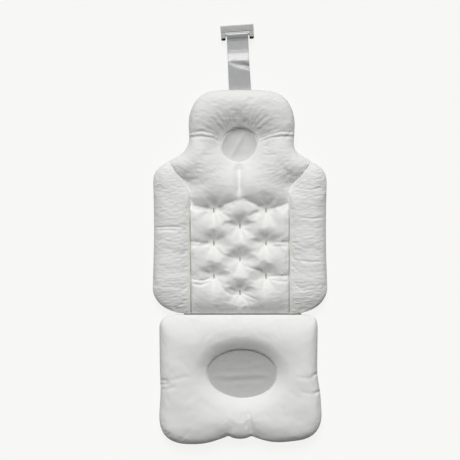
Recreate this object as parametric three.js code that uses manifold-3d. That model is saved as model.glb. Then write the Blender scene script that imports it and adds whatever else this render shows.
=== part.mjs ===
// Infant bath support pillow: a back rest and a seat pad joined by a fabric hinge,
// with a webbing strap and a hook that goes over the rim of the tub.
// Millimetres. The pad lies on its back on the floor: +Z is up, +Y runs from the seat
// towards the head and the hook, and the hinge line between the pads is y = 0 until the
// whole group is moved so that its origin is the middle of the base.

import * as THREE from 'three';
import { mergeVertices } from 'three/addons/utils/BufferGeometryUtils.js';
import Module from 'manifold-3d';

const wasm = await Module();
wasm.setup();

// Cloth, gaps and the heights that every pad shares
const clothThickness = 1.2;
const clearance = 0.4;
const seamGap = 0.3;
const cutOverrun = 2;
const seamHeight = 18;
const edgeRun = 34;
const lowerEdgeRun = 14;
const hingeGap = 1.7;

// Back rest outline
const backWidth = 310;
const backLength = 397.9;
const backCrown = 22;
const backCutWidth = 37;
const backCutHeight = 30;
const backCutRound = 22;
const waistInset = 2.5;
const waistHeight = 140;
const waistRound = 60;
const shoulderHeight = 256;
const shoulderRound = 21;
const neckHalfWidth = 92.5;
const neckRootFlare = 1;
const neckRootDrop = 21;
const neckRootRound = 22;
const neckHeight = 312;
const neckRound = 8;
const headHalfWidth = 95.5;
const headSideRise = 19;
const headSideRound = 10;
const headCornerRound = 57;
const headCrown = 28;

// Hollow of the head
const headHollowHeight = 302;
const headHollowRadius = 31;
const hollowRun = 30;
const recessTop = 8;
const recessTuck = 3;
const hollowFillGap = 5;
const hollowRingShares = [0.22, 0.55, 1];
const hollowApartShares = [0, 0.4, 0.6];

// Panel seams between the centre panel and the bolsters
const bolsterWidth = 65.5;
const panelForkHeight = 222;
const panelForkRound = 14;
const panelForkShare = 0.47;
const panelSeamGap = 2.6;
const panelSeamThickness = 1.2;
const panelSeamDepth = 8;
const panelSeamEndGap = 2.4;
const valleyDepth = 10;
const valleyRun = 15;

// Tufts: rows at one pitch, in turn one in the middle and one at each side
const tuftColumn = 46.7;
const tuftFirstRow = 38.8;
const tuftPitch = 29.4;
const tuftRowCount = 6;
const tuftDepth = 22;
const tuftRun = 15;
const tuftBarLength = 7.2;
const tuftBarWidth = 1.6;
const tuftBarHeight = 1;
const tuftColumnWidth = 1.2;
const creaseDepth = 5;
const creaseRun = 8;
const tuftFootShare = 0.9;
const quiltSteps = 3;
const quiltEndShares = { low: 2, high: 2.5 };
const quiltApartShare = 0.18;

// Seat pad
const seatWidth = 283;
const seatLength = 230.3;
const seatCrown = 28;
const seatTopRound = 25;
const seatPinch = 1.5;
const seatPinchHeight = 117;
const seatPinchRound = 30;
const seatLobeHalfWidth = 146;
const seatLobeRound = 47;
const seatLobeInner = 62;
const seatLobeInnerRound = 20;
const seatNotchHalf = 20;
const seatNotchHeight = 15;
const seatNotchRound = 5;
const seatMiddleRise = 10;
const seatHollowCentre = 105;
const seatHollowHalfWidth = 61.4;
const seatHollowHalfLength = 43.6;

// Strap, seam anchor and hinge bead
const webbingWidth = 38;
const webbingThickness = 1.6;
const foldBeadRadius = 1.3;
const anchorDepth = 14;
const strapAxisGap = 4;
const strapShift = -0.9;
const strapLean = 2.2;
const strapReach = 95.3;
const strapHump = 4.5;
const strapTail = 6;
const stitchLength = 26;
const stitchWidth = 0.9;
const stitchHeight = 0.7;
const hingeStripLength = 210;

// Hook over the rim of the tub
const hookTurn = 4;
const hookWidth = 59.6;
const hookAbove = 16;
const hookBelow = 7;
const hookDepth = 20.4;
const hookWall = 3;
const hookArmWidth = 8.4;
const hookRound = 3;
const hookRibCount = 3;
const hookRibWidth = 1.4;
const hookRibHeight = 0.5;
const hookRibEnd = 3;
const barRadius = 2.2;
const barSeat = 4;
const tipLength = 3.4;
const tipWall = 1.2;
const tipGrip = 4;

// Spacing of the points that the soft surfaces are faceted on
const outlineStep = 14.5;
const fineStep = 4;
const fillerStep = 18;
const hollowSteps = 24;
const loopSteps = 8;
const webbingSteps = 44;
const barSides = 16;
const tuftRingSides = 6;
const insetShares = [0.106, 0.309, 0.588];
const insetApartShares = [0, 0.5, 0.6];
const fillerApartShare = 0.72;
const lowerRingShares = [0.3, 1.1];
const lowerApartShare = 0.3;
const weldDistance = 1e-4;
const leastShare = 1e-6;
const farShare = 40;

// Materials, one per finish
const finishes = {
  cover: { color: 0xf1f1ee, roughness: 0.8 },
  seam: { color: 0xc9c0b2, roughness: 0.8 },
  padding: { color: 0xfafafa, roughness: 0.95 },
  thread: { color: 0x9c9288, roughness: 0.7 },
  webbing: { color: 0xb4b5b5, roughness: 0.45 },
  plastic: { color: 0xa9aaa8, roughness: 0.5 },
  rubber: { color: 0x1b1b1a, roughness: 0.6 },
};

// Plane geometry

const roundRoomShare = 0.98;
const leastMitreShare = 0.4;

function corner(x, y, round = 0) {
  return Object.assign(new THREE.Vector2(x, y), { round });
}

function mirrored(half) {
  const others = half.filter((c) => c.x > 0).map((c) => corner(-c.x, c.y, c.round));
  return [...half, ...others.reverse()];
}

function towards(from, to, distance) {
  const length = from.distanceTo(to);
  return from.clone().lerp(to, length > 0 ? distance / length : 0);
}

// A line through corners, each rounded off, with a point about every step. Where two
// roundings don't fit between their corners, both shrink.
function roundedLine(corners, step, isClosed) {
  const count = corners.length;
  const rounds = corners.map((c, i) => {
    const isEnd = !isClosed && (i === 0 || i === count - 1);
    const fits = [count - 1, 1].map((next) => {
      const other = corners[(i + next) % count];
      const both = c.round + other.round;
      return both > 0 ? Math.min(1, (c.distanceTo(other) * roundRoomShare) / both) : 1;
    });
    return isEnd ? 0 : c.round * Math.min(...fits);
  });
  const points = [];
  const add = (curve, least) => {
    const pieces = Math.max(least, Math.round(curve.getLength() / step));
    points.push(...curve.getSpacedPoints(pieces).slice(0, -1));
  };
  corners.forEach((c, i) => {
    const before = corners[(i + count - 1) % count];
    const next = (i + 1) % count;
    const after = corners[next];
    const end = towards(c, after, rounds[i]);
    const start = towards(after, c, rounds[next]);
    const isStraight = (isClosed || next > 0) && end.distanceTo(start) > clearance;
    if (rounds[i] > 0) add(new THREE.QuadraticBezierCurve(towards(c, before, rounds[i]), c, end), 2);
    if (isStraight) add(new THREE.LineCurve(end, start), 1);
  });
  if (!isClosed) points.push(corners[count - 1].clone());
  return points;
}

function roundedLoop(corners, step) {
  return roundedLine(corners, step, true);
}

function ellipseLoop(x, y, radiusX, radiusY, count, turn = 0) {
  return Array.from({ length: count }, (_, i) => {
    const angle = (i / count) * 2 * Math.PI + turn;
    return new THREE.Vector2(x + radiusX * Math.cos(angle), y + radiusY * Math.sin(angle));
  });
}

function rectangleLoop(x, y, width, length) {
  const shares = [[-0.5, -0.5], [0.5, -0.5], [0.5, 0.5], [-0.5, 0.5]];
  return shares.map(([u, v]) => new THREE.Vector2(x + u * width, y + v * length));
}

// Moves every point of a line to its left by one distance; a counter-clockwise loop
// shrinks. Sharp corners are mitred.
function besideLine(line, distance, isClosed) {
  const last = line.length - 1;
  const around = (i) => (isClosed ? (i + line.length) % line.length : THREE.MathUtils.clamp(i, 0, last));
  const leftOf = (a, b) => new THREE.Vector2(a.y - b.y, b.x - a.x).normalize();
  return line.map((p, i) => {
    const before = leftOf(line[around(i - 1)], p);
    const after = leftOf(p, line[around(i + 1)]);
    const sum = before.clone().add(after);
    const mitre = Math.max(1 + before.dot(after), leastMitreShare);
    const isEnd = before.length() * after.length() === 0;
    return p.clone().addScaledVector(sum, distance / (isEnd ? 1 : mitre));
  });
}

function insetLoop(loop, distance) {
  return besideLine(loop, distance, true);
}

function distanceToSegment(p, a, b) {
  const along = b.clone().sub(a);
  const share = THREE.MathUtils.clamp(p.clone().sub(a).dot(along) / along.lengthSq(), 0, 1);
  return a.clone().addScaledVector(along, share).distanceTo(p);
}

function distanceToLine(line, p, closed = true) {
  let least = Infinity;
  const last = closed ? line.length : line.length - 1;
  for (let i = 0; i < last; i += 1) {
    least = Math.min(least, distanceToSegment(p, line[i], line[(i + 1) % line.length]));
  }
  return least;
}

function isInside(loop, p) {
  let inside = false;
  loop.forEach((a, i) => {
    const b = loop[(i + 1) % loop.length];
    const crosses = a.y > p.y !== b.y > p.y;
    if (crosses && p.x < a.x + ((p.y - a.y) / (b.y - a.y)) * (b.x - a.x)) inside = !inside;
  });
  return inside;
}

// Delaunay triangulation, adding one point at a time. A steady shift far below any size
// keeps four points from lying on one circle.
function delaunay(points) {
  const box = new THREE.Box2().setFromPoints(points);
  const size = box.getSize(new THREE.Vector2()).length();
  const middle = box.getCenter(new THREE.Vector2());
  const shift = size * leastShare;
  const far = size * farShare;
  const all = points.map((p, i) => [
    p.x + shift * Math.sin(i * 12.9898),
    p.y + shift * Math.sin(i * 78.233),
  ]);
  const first = all.length;
  [0, 1, 2].forEach((k) => {
    const angle = (k / 3) * 2 * Math.PI;
    all.push([middle.x + far * Math.cos(angle), middle.y + far * Math.sin(angle)]);
  });
  const circled = (a, b, c) => {
    const [ax, ay] = all[a];
    const bx = all[b][0] - ax;
    const by = all[b][1] - ay;
    const cx = all[c][0] - ax;
    const cy = all[c][1] - ay;
    const twice = 2 * (bx * cy - by * cx);
    const x = (cy * (bx * bx + by * by) - by * (cx * cx + cy * cy)) / twice;
    const y = (bx * (cx * cx + cy * cy) - cx * (bx * bx + by * by)) / twice;
    return { a, b, c, x: ax + x, y: ay + y, reach: x * x + y * y };
  };
  let triangles = [circled(first, first + 1, first + 2)];
  for (let i = 0; i < first; i += 1) {
    const [px, py] = all[i];
    const edges = new Map();
    const kept = [];
    for (const t of triangles) {
      if ((t.x - px) ** 2 + (t.y - py) ** 2 >= t.reach) {
        kept.push(t);
        continue;
      }
      for (const [from, to] of [[t.a, t.b], [t.b, t.c], [t.c, t.a]]) {
        if (!edges.delete(`${to},${from}`)) edges.set(`${from},${to}`, [from, to]);
      }
    }
    for (const [from, to] of edges.values()) kept.push(circled(from, to, i));
    triangles = kept;
  }
  return triangles.filter((t) => Math.max(t.a, t.b, t.c) < first).map((t) => [t.a, t.b, t.c]);
}

// A point inside the circle on an edge of a loop would take that edge's triangle away.
function isClearOf(loop, p) {
  return loop.every((a, i) => {
    const b = loop[(i + 1) % loop.length];
    return a.clone().sub(p).dot(b.clone().sub(p)) > 0;
  });
}

// A sheet in plan: an outer loop, holes, and points inside that are kept where they are
// far enough from the ones before. Each entry of rings is a list with its least distance.
function planSheet(outer, holes, rings) {
  const points = [...outer, ...holes.flat()];
  for (const { places, apart } of rings) {
    const before = points.length;
    for (const p of places) {
      const near = points.slice(0, apart > 0 ? undefined : before);
      const open = isInside(outer, p) && !holes.some((hole) => isInside(hole, p));
      const clear = open && [outer, ...holes].every((loop) => isClearOf(loop, p));
      if (clear && near.every((q) => q.distanceTo(p) > Math.max(apart, clearance))) points.push(p);
    }
  }
  const faces = delaunay(points).filter((face) => {
    const [a, b, c] = face.map((i) => points[i]);
    const middle = a.clone().add(b).add(c).divideScalar(3);
    return isInside(outer, middle) && !holes.some((hole) => isInside(hole, middle));
  });
  const loops = [];
  let start = 0;
  [outer, ...holes].forEach((loop, i) => {
    loops.push({ start, count: loop.length, isHole: i > 0 });
    start += loop.length;
  });
  return { points, faces, loops };
}

function lift(sheet, height) {
  return sheet.points.map((p) => new THREE.Vector3(p.x, p.y, height(p)));
}

// Closes an upper and a lower sheet that share their loops into one body.
function closedBody(upper, upperPlaces, lower, lowerPlaces) {
  const places = [...upperPlaces, ...lowerPlaces];
  const base = upperPlaces.length;
  const index = [];
  upper.faces.forEach(([a, b, c]) => index.push(a, b, c));
  lower.faces.forEach(([a, b, c]) => index.push(base + c, base + b, base + a));
  upper.loops.forEach(({ start, count, isHole }) => {
    for (let i = 0; i < count; i += 1) {
      const a = start + i;
      const b = start + ((i + 1) % count);
      const [from, to] = isHole ? [b, a] : [a, b];
      index.push(from, base + from, base + to, from, base + to, to);
    }
  });
  const geometry = new THREE.BufferGeometry().setFromPoints(places);
  geometry.setIndex(index);
  return geometry;
}

// Normals of the faceted sheet at its points, for walls of one thickness.
function sheetNormals(sheet, places) {
  const normals = places.map(() => new THREE.Vector3());
  sheet.faces.forEach((face) => {
    const [a, b, c] = face.map((i) => places[i]);
    const normal = b.clone().sub(a).cross(c.clone().sub(a)).normalize();
    face.forEach((i) => normals[i].add(normal));
  });
  return normals.map((n) => n.normalize());
}

// Solid geometry

function solidOf(geometry) {
  const plain = geometry.clone();
  plain.deleteAttribute('normal');
  plain.deleteAttribute('uv');
  const merged = mergeVertices(plain, weldDistance);
  const mesh = new wasm.Mesh({
    numProp: 3,
    vertProperties: new Float32Array(merged.attributes.position.array),
    triVerts: new Uint32Array(merged.index.array),
  });
  return new wasm.Manifold(mesh);
}

function geometryOf(solid) {
  const mesh = solid.getMesh();
  const geometry = new THREE.BufferGeometry();
  geometry.setAttribute('position', new THREE.BufferAttribute(mesh.vertProperties, 3));
  geometry.setIndex(new THREE.BufferAttribute(mesh.triVerts, 1));
  return geometry;
}

function joined(geometries) {
  return geometries.map(solidOf).reduce((sum, solid) => sum.add(solid));
}

function without(geometry, cutters) {
  return geometryOf(solidOf(geometry).subtract(joined(cutters)));
}

function block(low, high) {
  const size = high.clone().sub(low);
  const box = new THREE.BoxGeometry(size.x, size.y, size.z);
  const middle = low.clone().add(high).divideScalar(2);
  return box.translate(middle.x, middle.y, middle.z);
}

// A profile in the (y, z) plane, drawn with Shape (x, y), extruded along X about x = 0.
function acrossX(shape, width, curveSegments = 6) {
  const geometry = new THREE.ExtrudeGeometry(shape, { depth: width, bevelEnabled: false, curveSegments });
  geometry.translate(0, 0, -width / 2);
  const turn = new THREE.Matrix4().makeBasis(
    new THREE.Vector3(0, 1, 0),
    new THREE.Vector3(0, 0, 1),
    new THREE.Vector3(1, 0, 0),
  );
  return geometry.applyMatrix4(turn);
}

// The outlines

const seamLevel = { upper: seamHeight + seamGap / 2, lower: seamHeight - seamGap / 2 };
const backBottom = hingeGap;
const backTop = hingeGap + backLength;
const sideHalf = backWidth / 2;
const panelSeamHalf = sideHalf - bolsterWidth;
const shoulder = corner(sideHalf, shoulderHeight, shoulderRound);
const neckRoot = corner(neckHalfWidth + neckRootFlare, neckHeight - neckRootDrop, neckRootRound);
const headCorners = [
  corner(neckHalfWidth, neckHeight, neckRound),
  corner(headHalfWidth, neckHeight + headSideRise, headSideRound),
  corner(headHalfWidth, backTop, headCornerRound),
  corner(0, backTop),
];
const lowerCorners = [
  corner(sideHalf - backCutWidth, backBottom, backCutRound),
  corner(sideHalf, backBottom + backCutHeight, backCutRound),
  corner(sideHalf - waistInset, waistHeight, waistRound),
];
const backHalf = [corner(0, backBottom), ...lowerCorners, shoulder, neckRoot, ...headCorners];
const seatTop = -hingeGap;
const seatBottom = seatTop - seatLength;
const seatHalf = [
  corner(0, seatBottom + seatMiddleRise),
  corner(seatNotchHalf, seatBottom + seatNotchHeight, seatNotchRound),
  corner(seatLobeInner, seatBottom, seatLobeInnerRound),
  corner(seatLobeHalfWidth, seatBottom, seatLobeRound),
  corner(seatWidth / 2 - seatPinch, -seatPinchHeight, seatPinchRound),
  corner(seatWidth / 2, seatTop, seatTopRound),
  corner(0, seatTop),
];
const backEdge = roundedLoop(mirrored(backHalf), fineStep);
const seatEdge = roundedLoop(mirrored(seatHalf), fineStep);
const forkEnd = shoulder.clone().lerp(neckRoot, panelForkShare);
const forkBend = new THREE.Vector2(panelSeamHalf, panelForkHeight);
const panelSeam = [new THREE.Vector2(panelSeamHalf, backBottom), forkBend, forkEnd];

// Heights of the pads' upper surface

function edgeShare(distance) {
  const rest = 1 - Math.min(1, distance / edgeRun);
  return Math.sqrt(1 - rest * rest);
}

// Beside the hinge the pad rises at 45 degrees at most, so that both pads fold up together.
function hingeRise(distance, crown) {
  const rest = 1 - THREE.MathUtils.clamp(distance / (2 * crown), 0, 1);
  return crown * (1 - rest * rest);
}

function hollowShare(distance) {
  return Math.sin(THREE.MathUtils.clamp(distance / hollowRun, 0, 1) * Math.PI / 2);
}

const hollowLip = recessTop + seamGap + clothThickness;

const tuftFlat = tuftBarLength / 2 + clearance;
const tufts = [];
for (let row = 0; row < tuftRowCount; row += 1) {
  const y = tuftFirstRow + row * tuftPitch;
  const columns = row % 2 === 0 ? [0] : [-tuftColumn, tuftColumn];
  columns.forEach((x) => tufts.push(new THREE.Vector2(x, y)));
}

// Creases run from each tuft to its neighbours in the rows beside it, and from the side
// tufts out to the panel seams.
const creases = [];
tufts.forEach((a) => {
  tufts.forEach((b) => {
    const isNext = Math.abs(b.y - a.y - tuftPitch) < tuftPitch / 2;
    if (isNext) creases.push([a, b]);
  });
  if (a.x !== 0) creases.push([a, new THREE.Vector2(Math.sign(a.x) * panelSeamHalf, a.y)]);
});

function backHeight(p) {
  const crown = THREE.MathUtils.lerp(
    backCrown,
    headCrown,
    THREE.MathUtils.smoothstep(p.y, shoulderHeight, neckHeight),
  );
  const edge = distanceToLine(backEdge, p);
  const share = edgeShare(edge);
  const rise = Math.min(crown * share, hingeRise(p.y - backBottom, crown));
  const onRight = new THREE.Vector2(Math.abs(p.x), p.y);
  const seam = distanceToLine(panelSeam, onRight, false);
  const valley = valleyDepth * Math.exp(-((seam / valleyRun) ** 2));
  const tuft = Math.max(...tufts.map((t) => {
    const away = Math.max(0, t.distanceTo(p) - tuftFlat);
    return tuftDepth * Math.exp(-((away / tuftRun) ** 2));
  }));
  const crease = Math.max(...creases.map(([a, b]) => {
    return creaseDepth * Math.exp(-((distanceToSegment(p, a, b) / creaseRun) ** 2));
  }));
  const risen = rise / crown;
  const quilted = rise - Math.max(valley, tuft, crease) * risen;
  const hollow = Math.hypot(p.x, p.y - headHollowHeight) - headHollowRadius;
  return THREE.MathUtils.lerp(hollowLip, seamHeight + quilted, hollowShare(hollow));
}

function seatHollowDistance(p) {
  const x = p.x / seatHollowHalfWidth;
  const y = (p.y + seatHollowCentre) / seatHollowHalfLength;
  const reach = Math.hypot(x, y);
  const edgeReach = Math.hypot(p.x, p.y + seatHollowCentre) / Math.max(reach, leastShare);
  return (reach - 1) * edgeReach;
}

function seatHeight(p) {
  const rise = seatCrown * edgeShare(distanceToLine(seatEdge, p));
  const top = seamHeight + Math.min(rise, hingeRise(seatTop - p.y, seatCrown));
  return THREE.MathUtils.lerp(hollowLip, top, hollowShare(seatHollowDistance(p)));
}

// The backing turns up at its edge in two slopes: how far in, and how high there.
const bowlShares = [[0, 1], [0.29, 0.296], [1, 0]];

function bowlShare(distance) {
  const share = THREE.MathUtils.clamp(distance / lowerEdgeRun, 0, 1);
  const [rim, bend, floor] = bowlShares;
  const [from, to] = share < bend[0] ? [rim, bend] : [bend, floor];
  return THREE.MathUtils.mapLinear(share, from[0], to[0], from[1], to[1]);
}

// Covers and fillings

// Points in staggered rows, alike on both sides of x = middle.
function staggered(low, high, middle, stepX, stepY) {
  const points = [];
  const count = Math.ceil((high.x - low.x) / stepX);
  for (let y = low.y, row = 0; y <= high.y; y += stepY, row += 1) {
    for (let i = -count; i <= count; i += 1) {
      const x = middle + (i + (row % 2) / 2) * stepX;
      if (x >= low.x && x <= high.x) points.push(new THREE.Vector2(x, y));
    }
  }
  return points;
}

// A pad panel as a plan, with points close together near its edge, its hollow and its tufts.
function panelPlan(loop, holes, features) {
  const [near, ...others] = insetShares.map((share, i) => ({
    places: insetLoop(loop, share * edgeRun),
    apart: outlineStep * insetApartShares[i],
  }));
  const box = new THREE.Box2().setFromPoints(loop);
  const centre = box.getCenter(new THREE.Vector2());
  const filler = staggered(box.min, box.max, centre.x, fillerStep, fillerStep * Math.sin(Math.PI / 3));
  return planSheet(loop, holes, [
    near,
    ...features,
    ...others,
    { places: filler, apart: fillerStep * fillerApartShare },
  ]);
}

// Moves a point of a panel's loop inwards, level with its seam where it lies on the edge.
function wallPlaces(sheet, places, wall, edge, level, holeShift) {
  const normals = sheetNormals(sheet, places);
  const moved = places.map((p, i) => p.clone().addScaledVector(normals[i], -wall));
  sheet.loops.forEach(({ start, count, isHole }, index) => {
    const loop = sheet.points.slice(start, start + count);
    const shift = isHole ? -holeShift(index - 1) : wall;
    const inner = insetLoop(loop, shift);
    loop.forEach((p, i) => {
      const onEdge = !isHole && distanceToLine(edge, p) < clearance;
      const place = moved[start + i];
      if (onEdge || isHole) place.setX(inner[i].x).setY(inner[i].y);
      if (onEdge) place.setZ(level);
    });
  });
  return moved;
}

function coverGeometry(sheet, height, edge) {
  const outside = lift(sheet, height);
  sheet.points.forEach((p, i) => {
    if (i < sheet.loops[0].count && distanceToLine(edge, p) < clearance) outside[i].z = seamLevel.upper;
  });
  const inside = wallPlaces(sheet, outside, clothThickness, edge, seamLevel.upper, () => 0);
  return { geometry: closedBody(sheet, outside, sheet, inside), outside };
}

const floorTop = clothThickness + clearance;

// The filling follows the inside of its cover and rests on the inside of the backing.
function fillGeometry(sheet, outside, edge, holeShifts) {
  const wall = clothThickness + clearance;
  const upper = wallPlaces(sheet, outside, wall, edge, seamHeight, (i) => holeShifts[i]);
  const loops = sheet.loops.map(({ start, count }) => {
    return upper.slice(start, start + count).map((p) => new THREE.Vector2(p.x, p.y));
  });
  const [outer, ...holes] = loops;
  sheet.loops.slice(1).forEach(({ start, count }, k) => {
    const level = holeShifts[k] > hollowFillGap / 2 ? recessTop + clearance : 0;
    for (let i = start; i < start + count; i += 1) {
      if (level > 0) upper[i].z = level;
    }
  });
  const rings = lowerRingShares.map((share) => ({
    places: insetLoop(outer, lowerEdgeRun * share),
    apart: outlineStep * lowerApartShare,
  }));
  const lowerSheet = planSheet(outer, holes, rings);
  const lower = lift(lowerSheet, (p) => {
    const inset = distanceToLine(edge, p) - wall - clearance;
    return floorTop + (seamHeight - floorTop) * bowlShare(inset);
  });
  return closedBody(sheet, upper, lowerSheet, lower);
}

function backingGeometry(edgeCorners, slots) {
  const loop = roundedLoop(edgeCorners, outlineStep);
  const rings = (wall) => bowlShares.slice(1).map(([share]) => ({
    places: insetLoop(loop, lowerEdgeRun * share + wall),
    apart: 0,
  }));
  const lowerSheet = planSheet(loop, slots, rings(0));
  const upperSheet = planSheet(loop, slots, rings(clothThickness));
  const height = (wall, p) => {
    const share = bowlShare(distanceToLine(loop, p) - wall);
    return wall + (seamLevel.lower - wall) * share;
  };
  const lower = lift(lowerSheet, (p) => height(0, p));
  const upper = lift(upperSheet, (p) => height(clothThickness, p));
  insetLoop(loop, clothThickness).forEach((p, i) => upper[i].set(p.x, p.y, seamLevel.lower));
  return closedBody(upperSheet, upper, lowerSheet, lower);
}

function tuftSlot(t) {
  return rectangleLoop(t.x, t.y, tuftColumnWidth + 2 * clearance, tuftColumnWidth + 2 * clearance);
}

function footSlot(t) {
  return rectangleLoop(t.x, t.y, tuftBarWidth + 2 * clearance, tuftBarLength + 2 * clearance);
}

// The panels' edges run beside the seam line, each at half the gap.
const [leftSeamStart, leftSeamBend] = besideLine(panelSeam, panelSeamGap / 2, false);
const [rightSeamStart, rightSeamBend] = besideLine(panelSeam, -panelSeamGap / 2, false);
const centreHalf = [
  corner(0, backBottom),
  corner(leftSeamStart.x, backBottom),
  corner(leftSeamBend.x, leftSeamBend.y, panelForkRound),
  corner(...towards(forkEnd, neckRoot, panelSeamGap / 2).toArray()),
  neckRoot,
  ...headCorners,
];
const bolsterCorners = [
  corner(rightSeamStart.x, backBottom),
  ...lowerCorners,
  shoulder,
  corner(...towards(forkEnd, shoulder, panelSeamGap / 2).toArray()),
  corner(rightSeamBend.x, rightSeamBend.y, panelForkRound),
];

function ringAround(centre, radius, count, turn = 0) {
  return ellipseLoop(centre.x, centre.y, radius, radius, count, turn);
}

// Rings of points down the slope round a hollow, from its hole outwards.
function hollowRings(ringAt) {
  return hollowRingShares.map((share, i) => ({
    places: ringAt(share * hollowRun),
    apart: outlineStep * hollowApartShares[i],
  }));
}

// The same steps of the grid lie between any two rows or columns of tufts.
const quiltStep = new THREE.Vector2(tuftColumn, tuftPitch).divideScalar(quiltSteps);
const lastTuft = tufts[tufts.length - 1];
const quiltLow = new THREE.Vector2(
  quiltStep.y - panelSeamHalf,
  tuftFirstRow - quiltEndShares.low * quiltStep.y,
);
const quiltHigh = new THREE.Vector2(-quiltLow.x, lastTuft.y + quiltEndShares.high * quiltStep.y);
const quiltGrid = staggered(quiltLow, quiltHigh, 0, quiltStep.x, quiltStep.y);
const headCentre = new THREE.Vector2(0, headHollowHeight);
const headRing = (away) => ringAround(headCentre, headHollowRadius + away, hollowSteps);
const tuftRing = (t) => ringAround(t, tuftFlat, tuftRingSides, Math.PI / tuftRingSides);
const centrePlan = panelPlan(roundedLoop(mirrored(centreHalf), outlineStep), [
  headRing(0),
  ...tufts.map(tuftSlot),
], [
  ...hollowRings(headRing),
  { places: tufts.flatMap(tuftRing), apart: 0 },
  { places: quiltGrid, apart: tuftPitch * quiltApartShare },
]);
const rightPlan = panelPlan(roundedLoop(bolsterCorners, outlineStep), [], []);
const leftCorners = bolsterCorners.map((c) => corner(-c.x, c.y, c.round)).reverse();
const leftPlan = panelPlan(roundedLoop(leftCorners, outlineStep), [], []);

const centreCover = coverGeometry(centrePlan, backHeight, backEdge);
const leftCover = coverGeometry(leftPlan, backHeight, backEdge);
const rightCover = coverGeometry(rightPlan, backHeight, backEdge);
const holeShifts = [hollowFillGap, ...tufts.map(() => clearance / 2)];

function seatRing(away) {
  const y = -seatHollowCentre;
  return ellipseLoop(0, y, seatHollowHalfWidth + away, seatHollowHalfLength + away, hollowSteps);
}

const seatLoop = roundedLoop(mirrored(seatHalf), outlineStep);
const seatPlan = panelPlan(seatLoop, [seatRing(0)], hollowRings(seatRing));
const seatCover = coverGeometry(seatPlan, seatHeight, seatEdge);

// Flat panels at the bottom of the hollows, tucked under the edge of the cover

function recessPanel(centreY, radiusX, radiusY) {
  const edge = ellipseLoop(0, centreY, radiusX + recessTuck, radiusY + recessTuck, hollowSteps * 2);
  const shape = new THREE.Shape(edge);
  const geometry = new THREE.ExtrudeGeometry(shape, { depth: clothThickness, bevelEnabled: false });
  return geometry.translate(0, 0, recessTop - clothThickness);
}

// A tuft is a bar tack: a bar of thread in the dimple, a stem through cover and filling,
// and a bar in a slot of the backing.
function tuftGeometry(t) {
  const dimple = backHeight(t) + clearance;
  const halfStem = tuftColumnWidth / 2;
  const halfWidth = tuftBarWidth / 2;
  const halfLength = tuftBarLength / 2;
  const footTop = floorTop - clearance;
  const parts = [
    [halfWidth, halfLength, dimple, dimple + tuftBarHeight],
    [halfStem, halfStem, footTop / 2, dimple + tuftBarHeight / 2],
    [halfWidth, halfLength, footTop - clothThickness * tuftFootShare, footTop],
  ];
  const blocks = parts.map(([x, y, low, high]) => {
    return block(new THREE.Vector3(t.x - x, t.y - y, low), new THREE.Vector3(t.x + x, t.y + y, high));
  });
  return geometryOf(joined(blocks));
}

// The seam between two panels: their allowances stand on edge below the valley.
function panelSeamGeometry(side) {
  const inset = panelSeamEndGap + clothThickness;
  const line = roundedLine([
    corner(panelSeamHalf, backBottom + inset),
    corner(forkBend.x, forkBend.y, panelForkRound),
    corner(...towards(forkEnd, forkBend, inset).toArray()),
  ], outlineStep, false);
  const half = panelSeamThickness / 2;
  const places = [];
  line.forEach((p, i) => {
    const along = line[Math.min(i + 1, line.length - 1)].clone().sub(line[Math.max(i - 1, 0)]).normalize();
    const across = new THREE.Vector2(-along.y, along.x).multiplyScalar(half);
    const top = backHeight(p);
    const low = Math.max(floorTop + clearance, Math.min(seamHeight, top - panelSeamDepth));
    [[1, low], [-1, low], [-1, top], [1, top]].forEach(([k, z]) => {
      places.push(new THREE.Vector3(side * (p.x + k * across.x), p.y + k * across.y, z));
    });
  });
  const index = [];
  const quad = (a, b, c, d) => index.push(a, b, c, a, c, d);
  for (let i = 0; i + 1 < line.length; i += 1) {
    for (let k = 0; k < 4; k += 1) {
      const next = (k + 1) % 4;
      quad(4 * i + k, 4 * i + 4 + k, 4 * i + 4 + next, 4 * i + next);
    }
  }
  const last = 4 * (line.length - 1);
  quad(0, 1, 2, 3);
  quad(last + 3, last + 2, last + 1, last);
  if (side < 0) index.reverse();
  const geometry = new THREE.BufferGeometry().setFromPoints(places);
  geometry.setIndex(index);
  return geometry;
}

// Strap: the origin of its group is the fold line at the head's edge, with Y along it.

const strapAxis = backTop + strapAxisGap;
const halfWebbing = webbingThickness / 2;
const loopMiddle = barRadius + clearance + halfWebbing;
const loopOuter = loopMiddle + halfWebbing;
const barHeight = hookDepth - hookWall - clearance;
const strapEnd = barHeight - loopMiddle - seamHeight;
// Each place along the strap as a share of its reach, and of the hump's height there.
const strapCourseShares = [[0, 0], [0.12, 0.6], [0.3, 1], [0.52, 0.5], [0.7, 0.1], [0.82, 0], [0.92, 0]];
const strapLevelShare = 0.82;
// From the bar's middle back along the strap, as shares of the loop's radius.
const tailBendShare = 1.3;
const tailStartShare = 1.85;
// The webbing goes from below the bar up its far side and back over it, to this share of the half turn above.
const loopEndShare = 0.83;
// The strap turns with its bar between these shares of its reach.
const skewShares = [0.3, 0.85];
const stitchTailShare = 0.6;
const skew = Math.tan(THREE.MathUtils.degToRad(hookTurn - strapLean));

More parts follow.
